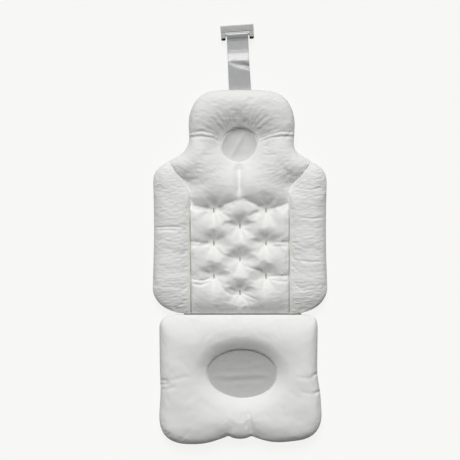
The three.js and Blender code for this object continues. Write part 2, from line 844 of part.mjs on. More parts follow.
// The middle line of the webbing, over its hump, under the bar, round it and back as a tail.
function webbingLine() {
  const points = strapCourseShares.map(([alongShare, humpShare]) => {
    const drop = strapEnd * Math.min(1, alongShare / strapLevelShare);
    return new THREE.Vector2(alongShare * strapReach, drop + humpShare * strapHump);
  });
  const barZ = barHeight - seamHeight;
  for (let i = 0; i <= loopSteps; i += 1) {
    const angle = THREE.MathUtils.lerp(-Math.PI / 2, Math.PI * loopEndShare, i / loopSteps);
    const x = strapReach + loopMiddle * Math.cos(angle);
    points.push(new THREE.Vector2(x, barZ + loopMiddle * Math.sin(angle)));
  }
  const tailLevel = strapEnd + webbingThickness + clearance;
  points.push(new THREE.Vector2(strapReach - loopMiddle * tailBendShare, (barZ + tailLevel) / 2));
  points.push(new THREE.Vector2(strapReach - loopMiddle * tailStartShare, tailLevel));
  points.push(new THREE.Vector2(strapReach - loopMiddle * tailStartShare - strapTail, tailLevel));
  return new THREE.SplineCurve(points);
}

// Turns the far end of the strap with the bar, which isn't square to it.
function skewed(geometry) {
  const places = geometry.attributes.position;
  const [start, end] = skewShares.map((share) => share * strapReach);
  for (let i = 0; i < places.count; i += 1) {
    const share = THREE.MathUtils.smoothstep(places.getY(i), start, end);
    places.setY(i, places.getY(i) + places.getX(i) * skew * share);
  }
  return geometry;
}

const stitchY = strapReach - loopMiddle * tailStartShare - strapTail * stitchTailShare;

function webbingGeometry() {
  const line = webbingLine();
  const above = [];
  const below = [];
  for (let i = 0; i <= webbingSteps; i += 1) {
    const p = line.getPoint(i / webbingSteps);
    const along = line.getTangent(i / webbingSteps);
    above.push(new THREE.Vector2(p.x - along.y * halfWebbing, p.y + along.x * halfWebbing));
    below.push(new THREE.Vector2(p.x + along.y * halfWebbing, p.y - along.x * halfWebbing));
  }
  const round = new THREE.Vector2(-halfWebbing, 0);
  const shape = new THREE.Shape([round, ...below, ...above.reverse()]);
  const geometry = acrossX(shape, webbingWidth);
  const halfSlot = stitchWidth / 2 + clearance;
  const halfLength = stitchLength / 2 + clearance;
  const slot = block(
    new THREE.Vector3(-halfLength, stitchY - halfSlot, strapEnd - webbingThickness),
    new THREE.Vector3(halfLength, stitchY + halfSlot, strapEnd + 2 * webbingThickness + clearance),
  );
  return skewed(without(geometry, [slot]));
}

// A row of stitches through the tail and the strap, with thread on both faces.
function stitchGeometry() {
  const low = strapEnd - halfWebbing - seamGap;
  const high = strapEnd + webbingThickness + clearance + halfWebbing + seamGap;
  const parts = [
    [stitchWidth, low - stitchHeight, low],
    [stitchWidth / 2, low - stitchHeight / 2, high + stitchHeight / 2],
    [stitchWidth, high, high + stitchHeight],
  ];
  const half = stitchLength / 2;
  return skewed(geometryOf(joined(parts.map(([width, from, to]) => {
    const corner = new THREE.Vector3(-half, stitchY - width, from);
    return block(corner, new THREE.Vector3(half, stitchY + width, to));
  }))));
}

// The sewn-in end of the webbing, in line with the strap, from inside the pad to its fold.
function anchorBlock(gap) {
  const half = webbingWidth / 2 + gap;
  const low = new THREE.Vector3(-half, -strapAxisGap - anchorDepth - gap, -halfWebbing - gap);
  const high = new THREE.Vector3(half, -halfWebbing - clearance, halfWebbing + gap);
  const lean = THREE.MathUtils.degToRad(strapLean);
  return block(low, high).rotateZ(lean).translate(strapShift, strapAxis, seamHeight);
}

// Hook: the origin of its group is the middle of its bar, on the floor.

const armInner = hookWidth / 2 - hookArmWidth;
const slotTop = loopOuter + clearance;
const barCoverShare = 0.4;
const limbLow = barHeight - barRadius - clearance - hookWall * barCoverShare;
const legLow = tipWall;
const legHigh = legLow + hookWall;

function roundedRectangle(left, bottom, right, top, round) {
  const shape = new THREE.Shape();
  shape.moveTo(left + round, bottom);
  shape.lineTo(right - round, bottom);
  shape.absarc(right - round, bottom + round, round, -Math.PI / 2, 0);
  shape.lineTo(right, top - round);
  shape.absarc(right - round, top - round, round, 0, Math.PI / 2);
  shape.lineTo(left + round, top);
  shape.absarc(left + round, top - round, round, Math.PI / 2, Math.PI);
  shape.lineTo(left, bottom + round);
  shape.absarc(left + round, bottom + round, round, Math.PI, 1.5 * Math.PI);
  return shape;
}

// The side view of an arm: a limb above, a back wall, and a leg under it.
function armShape() {
  const back = hookAbove - hookWall;
  const shape = new THREE.Shape();
  shape.moveTo(-hookBelow, hookDepth);
  shape.lineTo(-hookBelow, limbLow);
  shape.lineTo(back, limbLow);
  shape.lineTo(back, legHigh);
  shape.lineTo(-hookBelow, legHigh);
  shape.lineTo(-hookBelow, legLow);
  shape.lineTo(back - hookWall, legLow);
  shape.lineTo(back, 0);
  shape.lineTo(hookAbove - hookRound, 0);
  shape.absarc(hookAbove - hookRound, hookRound, hookRound, -Math.PI / 2, 0);
  shape.lineTo(hookAbove, hookDepth - hookRound);
  shape.absarc(hookAbove - hookRound, hookDepth - hookRound, hookRound, 0, Math.PI / 2);
  shape.lineTo(-hookBelow, hookDepth);
  return shape;
}

function plateShape() {
  const back = hookAbove - hookWall;
  const shape = new THREE.Shape();
  shape.moveTo(slotTop, hookDepth);
  shape.lineTo(slotTop, hookDepth - hookWall);
  shape.lineTo(back, hookDepth - hookWall);
  shape.lineTo(back, 0);
  shape.lineTo(hookAbove - hookRound, 0);
  shape.absarc(hookAbove - hookRound, hookRound, hookRound, -Math.PI / 2, 0);
  shape.lineTo(hookAbove, hookDepth - hookRound);
  shape.absarc(hookAbove - hookRound, hookDepth - hookRound, hookRound, 0, Math.PI / 2);
  shape.lineTo(slotTop, hookDepth);
  return shape;
}

function barCylinder(radius, length) {
  const bar = new THREE.CylinderGeometry(radius, radius, length, barSides);
  return bar.rotateZ(Math.PI / 2).translate(0, 0, barHeight);
}

function hookGeometry() {
  const plan = roundedRectangle(-hookWidth / 2, -hookBelow, hookWidth / 2, hookAbove, hookRound);
  const envelope = new THREE.ExtrudeGeometry(plan, {
    depth: hookDepth + hookRibHeight + cutOverrun,
    bevelEnabled: false,
    curveSegments: 4,
  }).translate(0, 0, -cutOverrun / 2);
  const arms = [-1, 1].map((side) => {
    return acrossX(armShape(), hookArmWidth, 4).translate(side * (armInner + hookArmWidth / 2), 0, 0);
  });
  const plate = acrossX(plateShape(), 2 * armInner + hookArmWidth, 4);
  const ribRoom = hookAbove - hookRound - slotTop;
  const ribs = Array.from({ length: hookRibCount }, (_, i) => {
    const y = slotTop + (ribRoom * (i + 0.5)) / hookRibCount;
    const half = hookWidth / 2 - hookRibEnd;
    const low = new THREE.Vector3(-half, y - hookRibWidth / 2, hookDepth - hookRibHeight);
    return block(low, new THREE.Vector3(half, y + hookRibWidth / 2, hookDepth + hookRibHeight));
  });
  const barRoom = 2 * (armInner + barSeat + clearance);
  const tipStep = block(
    new THREE.Vector3(-hookWidth, -hookBelow - cutOverrun, -cutOverrun),
    new THREE.Vector3(hookWidth, -hookBelow, hookDepth / 2),
  );
  return geometryOf(joined([...arms, plate, ...ribs])
    .intersect(solidOf(envelope))
    .subtract(solidOf(barCylinder(barRadius + clearance / 2, barRoom)))
    .subtract(solidOf(tipStep)));
}

// Rubber shoe on the end of a leg, with a pocket for the leg.
function tipGeometry(side) {
  const middle = side * (armInner + hookArmWidth / 2);
  const half = hookArmWidth / 2 + tipWall;
  const outer = block(
    new THREE.Vector3(middle - half, -hookBelow - tipLength, 0),
    new THREE.Vector3(middle + half, -hookBelow + tipGrip, legHigh + tipWall + clearance),
  );
  const pocketHalf = hookArmWidth / 2 + seamGap;
  const pocket = block(
    new THREE.Vector3(middle - pocketHalf, -hookBelow - seamGap, legLow - seamGap),
    new THREE.Vector3(middle + pocketHalf, -hookBelow + tipGrip + cutOverrun, legHigh + seamGap),
  );
  return without(outer, [pocket]);
}

// The assembly

function mesh(name, geometry, finish) {
  const piece = new THREE.Mesh(geometry, new THREE.MeshStandardMaterial({ ...finishes[finish], metalness: 0 }));
  piece.name = name;
  return piece;
}

const backRest = new THREE.Group();
const pocket = anchorBlock(seamGap);
const centreFill = fillGeometry(centrePlan, centreCover.outside, backEdge, holeShifts);
backRest.add(
  mesh('back_rest_backing', without(backingGeometry(mirrored(backHalf), tufts.map(footSlot)), [pocket]), 'cover'),
  mesh('centre_fill', without(centreFill, [pocket]), 'padding'),
  mesh('left_bolster_fill', fillGeometry(leftPlan, leftCover.outside, backEdge, []), 'padding'),
  mesh('right_bolster_fill', fillGeometry(rightPlan, rightCover.outside, backEdge, []), 'padding'),
  mesh('back_centre_cover', without(centreCover.geometry, [pocket]), 'cover'),
  mesh('left_bolster_cover', leftCover.geometry, 'cover'),
  mesh('right_bolster_cover', rightCover.geometry, 'cover'),
  mesh('left_panel_seam', panelSeamGeometry(-1), 'seam'),
  mesh('right_panel_seam', panelSeamGeometry(1), 'seam'),
  mesh('head_recess_panel', recessPanel(headHollowHeight, headHollowRadius, headHollowRadius), 'cover'),
  mesh('strap_anchor', anchorBlock(0), 'webbing'),
);
tufts.forEach((t, i) => backRest.add(mesh(`tuft_${i + 1}`, tuftGeometry(t), 'thread')));
const bead = new THREE.CylinderGeometry(foldBeadRadius, foldBeadRadius, hingeStripLength, barSides);
backRest.add(mesh('hinge_strip', bead.rotateZ(Math.PI / 2).translate(0, 0, seamHeight), 'cover'));

const seat = new THREE.Group();
seat.add(
  mesh('seat_backing', backingGeometry(mirrored(seatHalf), []), 'cover'),
  mesh('seat_fill', fillGeometry(seatPlan, seatCover.outside, seatEdge, [hollowFillGap]), 'padding'),
  mesh('seat_cover', seatCover.geometry, 'cover'),
  mesh('seat_recess_panel', recessPanel(-seatHollowCentre, seatHollowHalfWidth, seatHollowHalfLength), 'cover'),
);

const strap = new THREE.Group();
strap.position.set(strapShift, strapAxis, seamHeight);
strap.rotation.z = THREE.MathUtils.degToRad(strapLean);
strap.add(
  mesh('strap_webbing', webbingGeometry(), 'webbing'),
  mesh('strap_stitch', stitchGeometry(), 'thread'),
);

const hook = new THREE.Group();
hook.position.set(0, strapReach, -seamHeight);
hook.rotation.z = THREE.MathUtils.degToRad(hookTurn - strapLean);
hook.add(
  mesh('hook_frame', hookGeometry(), 'plastic'),
  mesh('hook_bar', barCylinder(barRadius, 2 * (armInner + barSeat)), 'plastic'),
  mesh('hook_tip_left', tipGeometry(-1), 'rubber'),
  mesh('hook_tip_right', tipGeometry(1), 'rubber'),
);
strap.add(hook);

// The pad is moved along Y so that its origin is the middle of its base.
const pillow = new THREE.Group();
pillow.add(backRest, seat, strap);
const extent = new THREE.Box3().setFromObject(pillow, true);
pillow.position.y = -extent.getCenter(new THREE.Vector3()).y;

const group = new THREE.Group();
group.add(pillow);
export default group;
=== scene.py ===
# %% [markdown]
# # A padded bath support
# An infant lies on this pad in the tub. It has a quilted back rest with a round hollow for
# the head, a seat pad with an oval hollow, and a webbing strap with a hook for the tub's rim.
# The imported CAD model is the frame: every new piece stands where its solids stand, in metres.

import math

import bmesh
import bpy
import numpy as np
from mathutils import Matrix, Vector, noise


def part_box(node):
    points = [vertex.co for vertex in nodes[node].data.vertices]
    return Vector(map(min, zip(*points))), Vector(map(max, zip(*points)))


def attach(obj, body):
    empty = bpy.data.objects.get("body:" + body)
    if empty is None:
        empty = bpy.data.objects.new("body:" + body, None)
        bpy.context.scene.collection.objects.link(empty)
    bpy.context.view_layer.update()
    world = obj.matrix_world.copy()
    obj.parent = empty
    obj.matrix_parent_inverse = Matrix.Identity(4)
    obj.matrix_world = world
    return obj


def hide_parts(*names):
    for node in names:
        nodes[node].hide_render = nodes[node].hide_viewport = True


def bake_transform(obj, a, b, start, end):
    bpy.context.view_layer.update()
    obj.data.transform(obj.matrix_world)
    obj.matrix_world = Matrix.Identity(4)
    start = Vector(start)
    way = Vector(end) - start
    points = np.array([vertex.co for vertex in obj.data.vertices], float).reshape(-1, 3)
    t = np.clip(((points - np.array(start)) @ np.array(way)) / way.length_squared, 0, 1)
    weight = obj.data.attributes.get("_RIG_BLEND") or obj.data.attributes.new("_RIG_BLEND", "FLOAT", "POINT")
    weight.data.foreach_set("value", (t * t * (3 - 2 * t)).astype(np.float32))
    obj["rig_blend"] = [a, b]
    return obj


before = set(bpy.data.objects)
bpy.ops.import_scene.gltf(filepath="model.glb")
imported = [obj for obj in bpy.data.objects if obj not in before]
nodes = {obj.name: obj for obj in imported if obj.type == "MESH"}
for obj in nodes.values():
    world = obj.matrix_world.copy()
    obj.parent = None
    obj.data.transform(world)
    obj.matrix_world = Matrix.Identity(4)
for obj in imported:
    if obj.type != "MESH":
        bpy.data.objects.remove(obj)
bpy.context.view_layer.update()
scene = bpy.context.scene
print("CAD nodes:", len(nodes))

# %% [markdown]
# The room, the floor and every finish are trees of shader nodes. These few functions make a
# node with its values set, do sums on sockets and link them.

# %% Nodes and links
def set_values(made, **values):
    for name, value in values.items():
        if hasattr(made, name):
            setattr(made, name, value)
        else:
            made.inputs[name.replace("_", " ")].default_value = value
    return made


def node(tree, kind, **values):
    return set_values(tree.nodes.new(kind), **values)


def link(tree, *pairs):
    for start, end in pairs:
        tree.links.new(start, end)


def math_node(tree, operation, first, second):
    made = node(tree, "ShaderNodeMath", operation=operation)
    for socket, value in zip(made.inputs, (first, second)):
        if isinstance(value, (int, float)):
            socket.default_value = value
        else:
            link(tree, (value, socket))
    return made.outputs[0]


print("Blender:", bpy.app.version_string)

# %% [markdown]
# The photograph looks straight down on the pad, with the hook at the top of the picture. A
# long lens from three metres up gives its nearly flat view, and the frame's width comes from
# the strap, which is 38 mm wide on the real object.

# %% Camera
camera_height = 3.025
view_middle = (-0.0178, 0.0077)
view_width = 0.8188
pad_level = 0.025

lens = bpy.data.cameras.new("photo_camera")
lens.lens = lens.sensor_width * (camera_height - pad_level) / view_width
camera = bpy.data.objects.new("photo_camera", lens)
camera.location = (*view_middle, camera_height)
scene.collection.objects.link(camera)
scene.camera = camera
print("lens:", round(lens.lens, 1), "mm")

# %% [markdown]
# White cloth shows its form only by shade, so one broad lamp leans in from beyond the hook and
# the room's faint light fills the rest. The floor is a pale card: it takes the pad's shadow, and
# most of what the camera sees of it is the card's own even tone.

# %% Light and floor
key_tilt = math.radians(-37)
key_turn = math.radians(3)
key_strength = 2.55
key_softness = math.radians(30)
room_light = 0.04
background_tone = 0.94
card_grey = 0.72
card_tone = (0.99, 0.99, 0.97)
floor_size = 14.0
floor_drop = 0.0006
floor_share = 0.88

key = bpy.data.lights.new("key_light", "SUN")
key.energy = key_strength
key.angle = key_softness
key_lamp = bpy.data.objects.new("key_light", key)
key_lamp.rotation_euler = (key_tilt, 0, key_turn)
scene.collection.objects.link(key_lamp)


def seen_by_camera(tree, lit, seen, share, end):
    """Mixes a plain tone into what the camera sees, and leaves the light as it is."""
    path = node(tree, "ShaderNodeLightPath")
    part = math_node(tree, "MULTIPLY", path.outputs["Is Camera Ray"], share)
    mix = node(tree, "ShaderNodeMixShader")
    link(tree, (part, mix.inputs["Fac"]), (lit.outputs[0], mix.inputs[1]),
         (seen.outputs[0], mix.inputs[2]), (mix.outputs[0], end.inputs["Surface"]))


def light_room():
    world = bpy.data.worlds.new("studio")
    scene.world = world
    world.use_nodes = True
    tree = world.node_tree
    room = set_values(tree.nodes["Background"], Color=(1, 1, 1, 1), Strength=room_light)
    seen = node(tree, "ShaderNodeBackground", Color=(*card_tone, 1), Strength=background_tone)
    seen_by_camera(tree, room, seen, 1.0, tree.nodes["World Output"])


def card_material():
    card = bpy.data.materials.new("pale_card")
    card.use_nodes = True
    tree = card.node_tree
    paper = set_values(tree.nodes["Principled BSDF"], Base_Color=(card_grey,) * 3 + (1,),
                       Roughness=0.9, Specular_IOR_Level=0.1)
    glow = node(tree, "ShaderNodeEmission", Color=(*card_tone, 1))
    seen_by_camera(tree, paper, glow, floor_share, tree.nodes["Material Output"])
    return card


def lay_floor():
    bm = bmesh.new()
    bmesh.ops.create_grid(bm, x_segments=1, y_segments=1, size=floor_size / 2)
    bmesh.ops.translate(bm, verts=bm.verts, vec=(0, 0, -floor_drop))
    mesh = bpy.data.meshes.new("floor_card")
    bm.to_mesh(mesh)
    bm.free()
    mesh.materials.append(card_material())
    floor = bpy.data.objects.new("floor_card", mesh)
    scene.collection.objects.link(floor)


light_room()
lay_floor()
scene.view_settings.view_transform = "Standard"
print("key light:", key_strength, "room:", room_light)

# %% [markdown]
# A pattern maker draws each panel as a line with rounded corners. Lengths below are in
# millimetres, measured from the fold line between the pads, as on the CAD drawing, and
# become metres when a mesh is finished. A corner is its place and the length of edge that
# its rounding takes up.

# %% Lines with rounded corners
mm = 0.001
fold_line = 142.33
corner_steps = 10
round_room = 0.98
fold_gap = 1.1
seam_aside = 89.5


def smooth_line(corners):
    points = []
    for i, (x, y, reach) in enumerate(corners):
        here = np.array([x, y], float)
        if reach == 0:
            points.append(here)
            continue
        before = np.array(corners[i - 1][:2]) - here
        after = np.array(corners[i + 1][:2]) - here
        room = min(np.hypot(*before) / (reach + corners[i - 1][2]),
                   np.hypot(*after) / (reach + corners[i + 1][2]))
        reach *= min(1, room * round_room)
        start = here + before / np.hypot(*before) * reach
        end = here + after / np.hypot(*after) * reach
        for t in np.linspace(0, 1, corner_steps):
            points.append((1 - t) ** 2 * start + 2 * t * (1 - t) * here + t * t * end)
    return np.array(points)


def travel(line):
    steps = np.hypot(*np.diff(line, axis=0).T)
    return np.concatenate([[0], np.cumsum(steps)])


def at_share(line, share):
    way = travel(line)
    return np.stack([np.interp(share * way[-1], way, line[:, k]) for k in (0, 1)], -1)


def stretch_between(line, start, end):
    fine = at_share(line, np.linspace(0, 1, 2000))
    first, last = (np.argmin(np.hypot(*(fine - p).T)) for p in (start, end))
    part = fine[first:last + 1] if first < last else fine[last:first + 1][::-1]
    return at_share(part, np.linspace(0, 1, 160))


def mirrored(line):
    return line * (-1, 1)


back_outline = smooth_line([
    (0, fold_gap, 0), (115, fold_gap, 20), (143.5, 16.5, 13), (156, 38, 11), (152.5, 140, 60),
    (155, 256, 21), (95.5, 291, 22), (92.5, 312, 8), (94, 331, 10), (94, 399.6, 74),
    (0, 399.6, 0),
])
seat_outline = smooth_line([
    (0, -222.4, 0), (12.5, -221.6, 9), (20, -217, 3), (62, -232, 20), (147.5, -232, 57),
    (140, -117, 30), (141.5, -fold_gap, 25), (0, -fold_gap, 0),
])
fork_end = np.array([126.1, 272.45])
seam_bend = 222
panel_seam = smooth_line([(seam_aside, fold_gap, 0), (seam_aside, seam_bend, 14), (*fork_end, 0)])
back_loop = np.concatenate([back_outline, mirrored(back_outline)[::-1]])
seat_loop = np.concatenate([seat_outline, mirrored(seat_outline)[::-1]])
print("outlines:", len(back_loop), "and", len(seat_loop), "points")

# %% [markdown]
# Every panel is a grid of cloth stretched between its four sides, so that the threads of
# the mesh run with the panel. Its lines gather near the edges, where the pad turns down
# steeply. A Coons patch does this: it blends the two pairs of sides and takes off the
# corners, which both pairs count.

# %% A panel between four sides
half = 0.5


def gathered(share, amount):
    return (1 - amount) * share + amount * (half - half * np.cos(np.pi * share))


def panel(columns, rows, bottom, right, top, left, gather=(0.6, 0.6)):
    bm = bmesh.new()
    bmesh.ops.create_grid(bm, x_segments=columns, y_segments=rows, size=half)
    flat = np.array([v.co[:2] for v in bm.verts]) + half
    u = gathered(flat[:, :1], gather[0])
    v = gathered(flat[:, 1:], gather[1])
    low, high = at_share(bottom, u[:, 0]), at_share(top, u[:, 0])
    west, east = at_share(left, v[:, 0]), at_share(right, v[:, 0])
    corners = (1 - u) * (1 - v) * bottom[0] + u * (1 - v) * bottom[-1]
    corners += (1 - u) * v * top[0] + u * v * top[-1]
    places = (1 - v) * low + v * high + (1 - u) * west + u * east - corners
    for vert, (x, y) in zip(bm.verts, places):
        vert.co = (x, y, 0)
    return bm


def plan(verts):
    places = np.array([v.co for v in verts])
    return places[:, 0], places[:, 1]


def set_heights(verts, heights):
    for vert, z in zip(verts, heights):
        vert.co.z = z


def copy_faces(bm):
    """Copies every face, joined to the first ones along their edge, and gives the new points."""
    made = bmesh.ops.extrude_face_region(bm, geom=bm.faces[:], use_keep_orig=True)
    return [e for e in made["geom"] if isinstance(e, bmesh.types.BMVert)]


print("a line at 0.1 of the width gathers to", round(float(gathered(0.1, 0.6)), 3))

# %% [markdown]
# Heights come from distances: how far a point is from the pad's edge, from a seam, from a
# tuft or from a crease. A crease is a line of points with a depth and a width, and it fades
# out towards its ends, as a fold in cloth does.

# %% Distances and creases
fade_share = 0.25


def nearest(line, x, y):
    """Distance from a line, and how far along it the nearest place is."""
    way = travel(line)
    best = np.full(x.shape, np.inf)
    along = np.zeros(x.shape)
    for (ax, ay), (bx, by), start in zip(line[:-1], line[1:], way):
        dx, dy = bx - ax, by - ay
        length = math.hypot(dx, dy)
        if length == 0:
            continue
        t = np.clip(((x - ax) * dx + (y - ay) * dy) / length ** 2, 0, 1)
        away = np.hypot(x - ax - t * dx, y - ay - t * dy)
        closer = away < best
        best[closer] = away[closer]
        along[closer] = (start + t * length)[closer] / way[-1]
    return best, along


def smoothstep(low, high, value):
    t = np.clip((value - low) / (high - low), 0, 1)
    return t * t * (3 - 2 * t)


def bump(away, run):
    return np.exp(-((away / run) ** 2))


def creased(x, y, creases):
    total = np.zeros(x.shape)
    for depth, width, points in creases:
        away, along = nearest(np.array(points, float), x, y)
        fade = smoothstep(0, fade_share, along) * smoothstep(1, 1 - fade_share, along)
        total += depth * fade * bump(away, width)
    return total


def ripples(x, y, long, short, seed):
    """Uneven waves, long one way and short the other."""
    return np.array([noise.noise((a / long, b / short, seed)) for a, b in zip(x, y)])


print("a crease fades over", fade_share, "of its length at each end")

# %% [markdown]
# The pad in the photograph lies a little unevenly: its head is pushed to the right, its seat
# to the left, the crown is drawn in and one lobe of the seat is spread and lifted. Every
# finished cloth is moved in the same way, so the pieces still meet. The strap and the hook
# aren't moved, because they were drawn as they lie.

# %% How the pad lies, and finished pieces
head_shift = 2.6
head_shift_more = 0.35
neck_span = (284, 318)
crown_pull = 0.025
crown_span = (340, 385)
seat_shift = -2.6
lobe_spread = 1.6
lobe_lift = 5.8
left_seam_shift = 2.6
right_seam_shift = -2.0
seam_reach = 32.0
lowest = 0.1


def settled(x, y):
    """Where a place of the drawing lies on the real pad, which isn't quite even."""
    x = x + head_shift * smoothstep(*neck_span, y) * (1 + head_shift_more * smoothstep(0, 90, x))
    x = x - crown_pull * x * smoothstep(*crown_span, y)
    x = x + seat_shift * smoothstep(-150, -90, y) * smoothstep(0, -20, y)
    low = smoothstep(290, 180, y) * smoothstep(-1, 0, y)
    x = x + left_seam_shift * bump(x + seam_aside, seam_reach) * low * (1 - y / seam_bend)
    x = x + right_seam_shift * bump(x - seam_aside, seam_reach) * low
    x = x + lobe_spread * smoothstep(60, 140, x) * smoothstep(-110, -140, y)
    y = y + lobe_lift * smoothstep(30, 110, x) * smoothstep(-150, -215, y)
    return x, y


def to_metres(bm, uneven=True):
    if uneven:
        xs, ys = settled(*plan(bm.verts))
        for vert, x, y in zip(bm.verts, xs, ys):
            vert.co.x, vert.co.y, vert.co.z = x, y, max(vert.co.z, lowest)
    bmesh.ops.scale(bm, verts=bm.verts, vec=(mm, mm, mm))
    bmesh.ops.translate(bm, verts=bm.verts, vec=(0, -fold_line * mm, 0))


def add_piece(name, bm, material, body=None, replaces=()):
    mesh = bpy.data.meshes.new(name)
    bm.to_mesh(mesh)
    bm.free()
    mesh.shade_smooth()
    mesh.materials.append(material)
    piece = bpy.data.objects.new(name, mesh)
    scene.collection.objects.link(piece)
    if body:
        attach(piece, body)
    if replaces:
        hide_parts(*replaces)
    print(name, len(mesh.polygons), "faces")
    return piece


print("head", head_shift, "mm and seat", seat_shift, "mm to the right")

# %% [markdown]
# The back rest is padded: it rises at once from the sewn edge and is 22 mm thick above the
# seam, a little more in the lobes and the head. Nine tufts pull it most of the way down, the
# panel seams run down both sides, the neck is a broad valley, and the ground slopes down to
# the hollow for the head, whose own wall is upright.

# %% Heights of the back rest
seam_level = 18.0
back_crown = 22.0
lobe_crown = 4.0
head_crown = 1.5
head_calm = 12.0
edge_run = 34.0
corner_run = 34.0
corner_reach = 85.0
soft_power = 4
head_hollow = (-2.6, 302.0)
head_hollow_radius = 30.2
head_slope = (0.66, 30.0, 5.0, 2.8)
lip_run = 2.4
tuft_depth = 18.5
tuft_run = 20.0
tuft_run_above = 16.5
valley_depth = 5.0
valley_run = 10.0
groove_depth = 4.5
groove_run = 2.6
fork_fade = 0.7
quilt_depth = 4.0
quilt_run = 9.0
neck_line = 317.0
neck_depth = 7.0
neck_run = 22.0
fork_bends = [(-92, 229), (92, 228)]
fork_depth = 14.0
fork_run = 21.0
bolster_fork_share = 0.4
lobe_end = np.array([(-seam_aside, 195), (-70, 190), (-46.7, 187), (-33, 190.5), (-21, 196),
                     (-10, 200.5), (0, 202)], float)
lobe_end_depth = 9.0
lobe_end_run = 12.0
back_corner_aside = 155
turn_up_run = 14.0
turn_up_power = 3.5
cover_lift = 1.8


def place_of(piece):
    low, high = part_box(piece)
    middle = (low + high) / 2
    return np.array([middle.x / mm, middle.y / mm + fold_line])


tuft_names = [f"tuft_{i + 1}" for i in range(9)]
tufts = [place_of(name) for name in tuft_names]


def quilt_lines():
    lines = []
    for a in tufts:
        for b in tufts:
            if 20 < b[1] - a[1] < 40:
                lines.append(np.array([a, b]))
        if abs(a[0]) > 20:
            lines.append(np.array([a, (math.copysign(seam_aside, a[0]), a[1] - 2)]))
    return lines


def edge_share(away, run):
    rest = 1 - np.minimum(1, away / run)
    return np.sqrt(1 - rest * rest)


def hinge_rise(away, crown):
    rest = 1 - np.clip(away / (2 * crown), 0, 1)
    return crown * (1 - rest * rest)


def lesser(a, b):
    """The smaller of two rises, with a rounded change from one to the other."""
    a, b = np.maximum(a, 1e-3), np.maximum(b, 1e-3)
    return (a ** -soft_power + b ** -soft_power) ** (-1 / soft_power)


def tuft_dips(x, y):
    deepest = np.zeros(x.shape)
    for i, (tx, ty) in enumerate(tufts):
        turn = np.arctan2(y - ty, x - tx)
        down = (y - ty) * np.where(y > ty, tuft_run / tuft_run_above, 1)
        away = np.hypot(x - tx, down)
        run = tuft_run * (1 + 0.06 * np.cos(4 * turn) + 0.05 * np.sin(7 * turn + i))
        deepest = np.maximum(deepest, tuft_depth * bump(away, run))
    return deepest


def beside_hollow(away, top, form):
    """Slopes the top down towards a hollow's rim, and rolls it over close to the rim."""
    slope, run, knee, lip_drop = form
    lip = 1 - np.clip(away / lip_run, 0, 1)
    return top - slope * knee * np.logaddexp(0, (run - away) / knee) - lip_drop * lip ** 2


def side_rise(x, y, crown):
    away, _ = nearest(back_loop, x, y)
    corner = smoothstep(corner_reach, 0, np.hypot(np.abs(x) - back_corner_aside, y))
    edge = crown * edge_share(away, edge_run + corner_run * corner)
    return lesser(edge, hinge_rise(y - fold_gap, crown))


def seam_dip(seam, y):
    groove = groove_depth * (1 - fork_fade * smoothstep(212, 240, y))
    return valley_depth * bump(seam, valley_run) + groove * bump(seam, groove_run)


def fork_dip(x, y):
    """The seams meet the shoulders in a broad hollow."""
    return sum(fork_depth * bump(np.hypot(x - fx, y - fy), fork_run) for fx, fy in fork_bends)


def centre_top(x, y):
    crown = back_crown + lobe_crown * smoothstep(196, 226, y) + head_crown * smoothstep(300, 340, y)
    rise = side_rise(x, y, crown)
    seam, _ = nearest(panel_seam, np.abs(x), y)
    lines = np.zeros(x.shape)
    for line in quilt_lines():
        lines = np.maximum(lines, quilt_depth * bump(nearest(line, x, y)[0], quilt_run))
    for line in (lobe_end, mirrored(lobe_end)):
        depth = lobe_end_depth * (0.35 + 0.65 * smoothstep(10, 36, np.abs(x)))
        lines = np.maximum(lines, depth * bump(nearest(line, x, y)[0], lobe_end_run))
    neck = neck_depth * bump(y - neck_line, neck_run) * smoothstep(10, 40, np.abs(x))
    pulled = np.maximum(lines, tuft_dips(x, y)) + seam_dip(seam, y) + fork_dip(x, y) + neck
    top = seam_level + rise - pulled * rise / crown
    hollow = np.hypot(x - head_hollow[0], y - head_hollow[1]) - head_hollow_radius
    return beside_hollow(hollow, top, head_slope)


def bolster_top_at(x, y):
    rise = side_rise(x, y, back_crown)
    seam, _ = nearest(panel_seam, np.abs(x), y)
    pulled = seam_dip(seam, y) + bolster_fork_share * fork_dip(x, y)
    return seam_level + rise - pulled * rise / back_crown


def underside(loop, x, y, lift=0.0):
    away, _ = nearest(loop, x, y)
    return lift + (seam_level - lift) * (1 - np.clip(away / turn_up_run, 0, 1)) ** turn_up_power


print("tufts:", len(tufts), "quilt lines:", len(quilt_lines()))

# %% [markdown]
# Cloth, thread, webbing and plastic share a few effects, so each is a group of nodes that is
# built once: the loops of a knit, which much finer are the grain of moulded plastic, and the
# ribs of a woven band. Each also gives the uneven tone that goes with them. Patterns read
# Object coordinates, which are metres here, or the piece's own map along its length.

# %% Node groups
def new_group(name, inputs, outputs):
    group = bpy.data.node_groups.new(name, "ShaderNodeTree")
    for label, kind in inputs:
        group.interface.new_socket(label, in_out="INPUT", socket_type=kind)
    for label, kind in outputs:
        group.interface.new_socket(label, in_out="OUTPUT", socket_type=kind)
    return group, group.nodes.new("NodeGroupInput"), group.nodes.new("NodeGroupOutput")


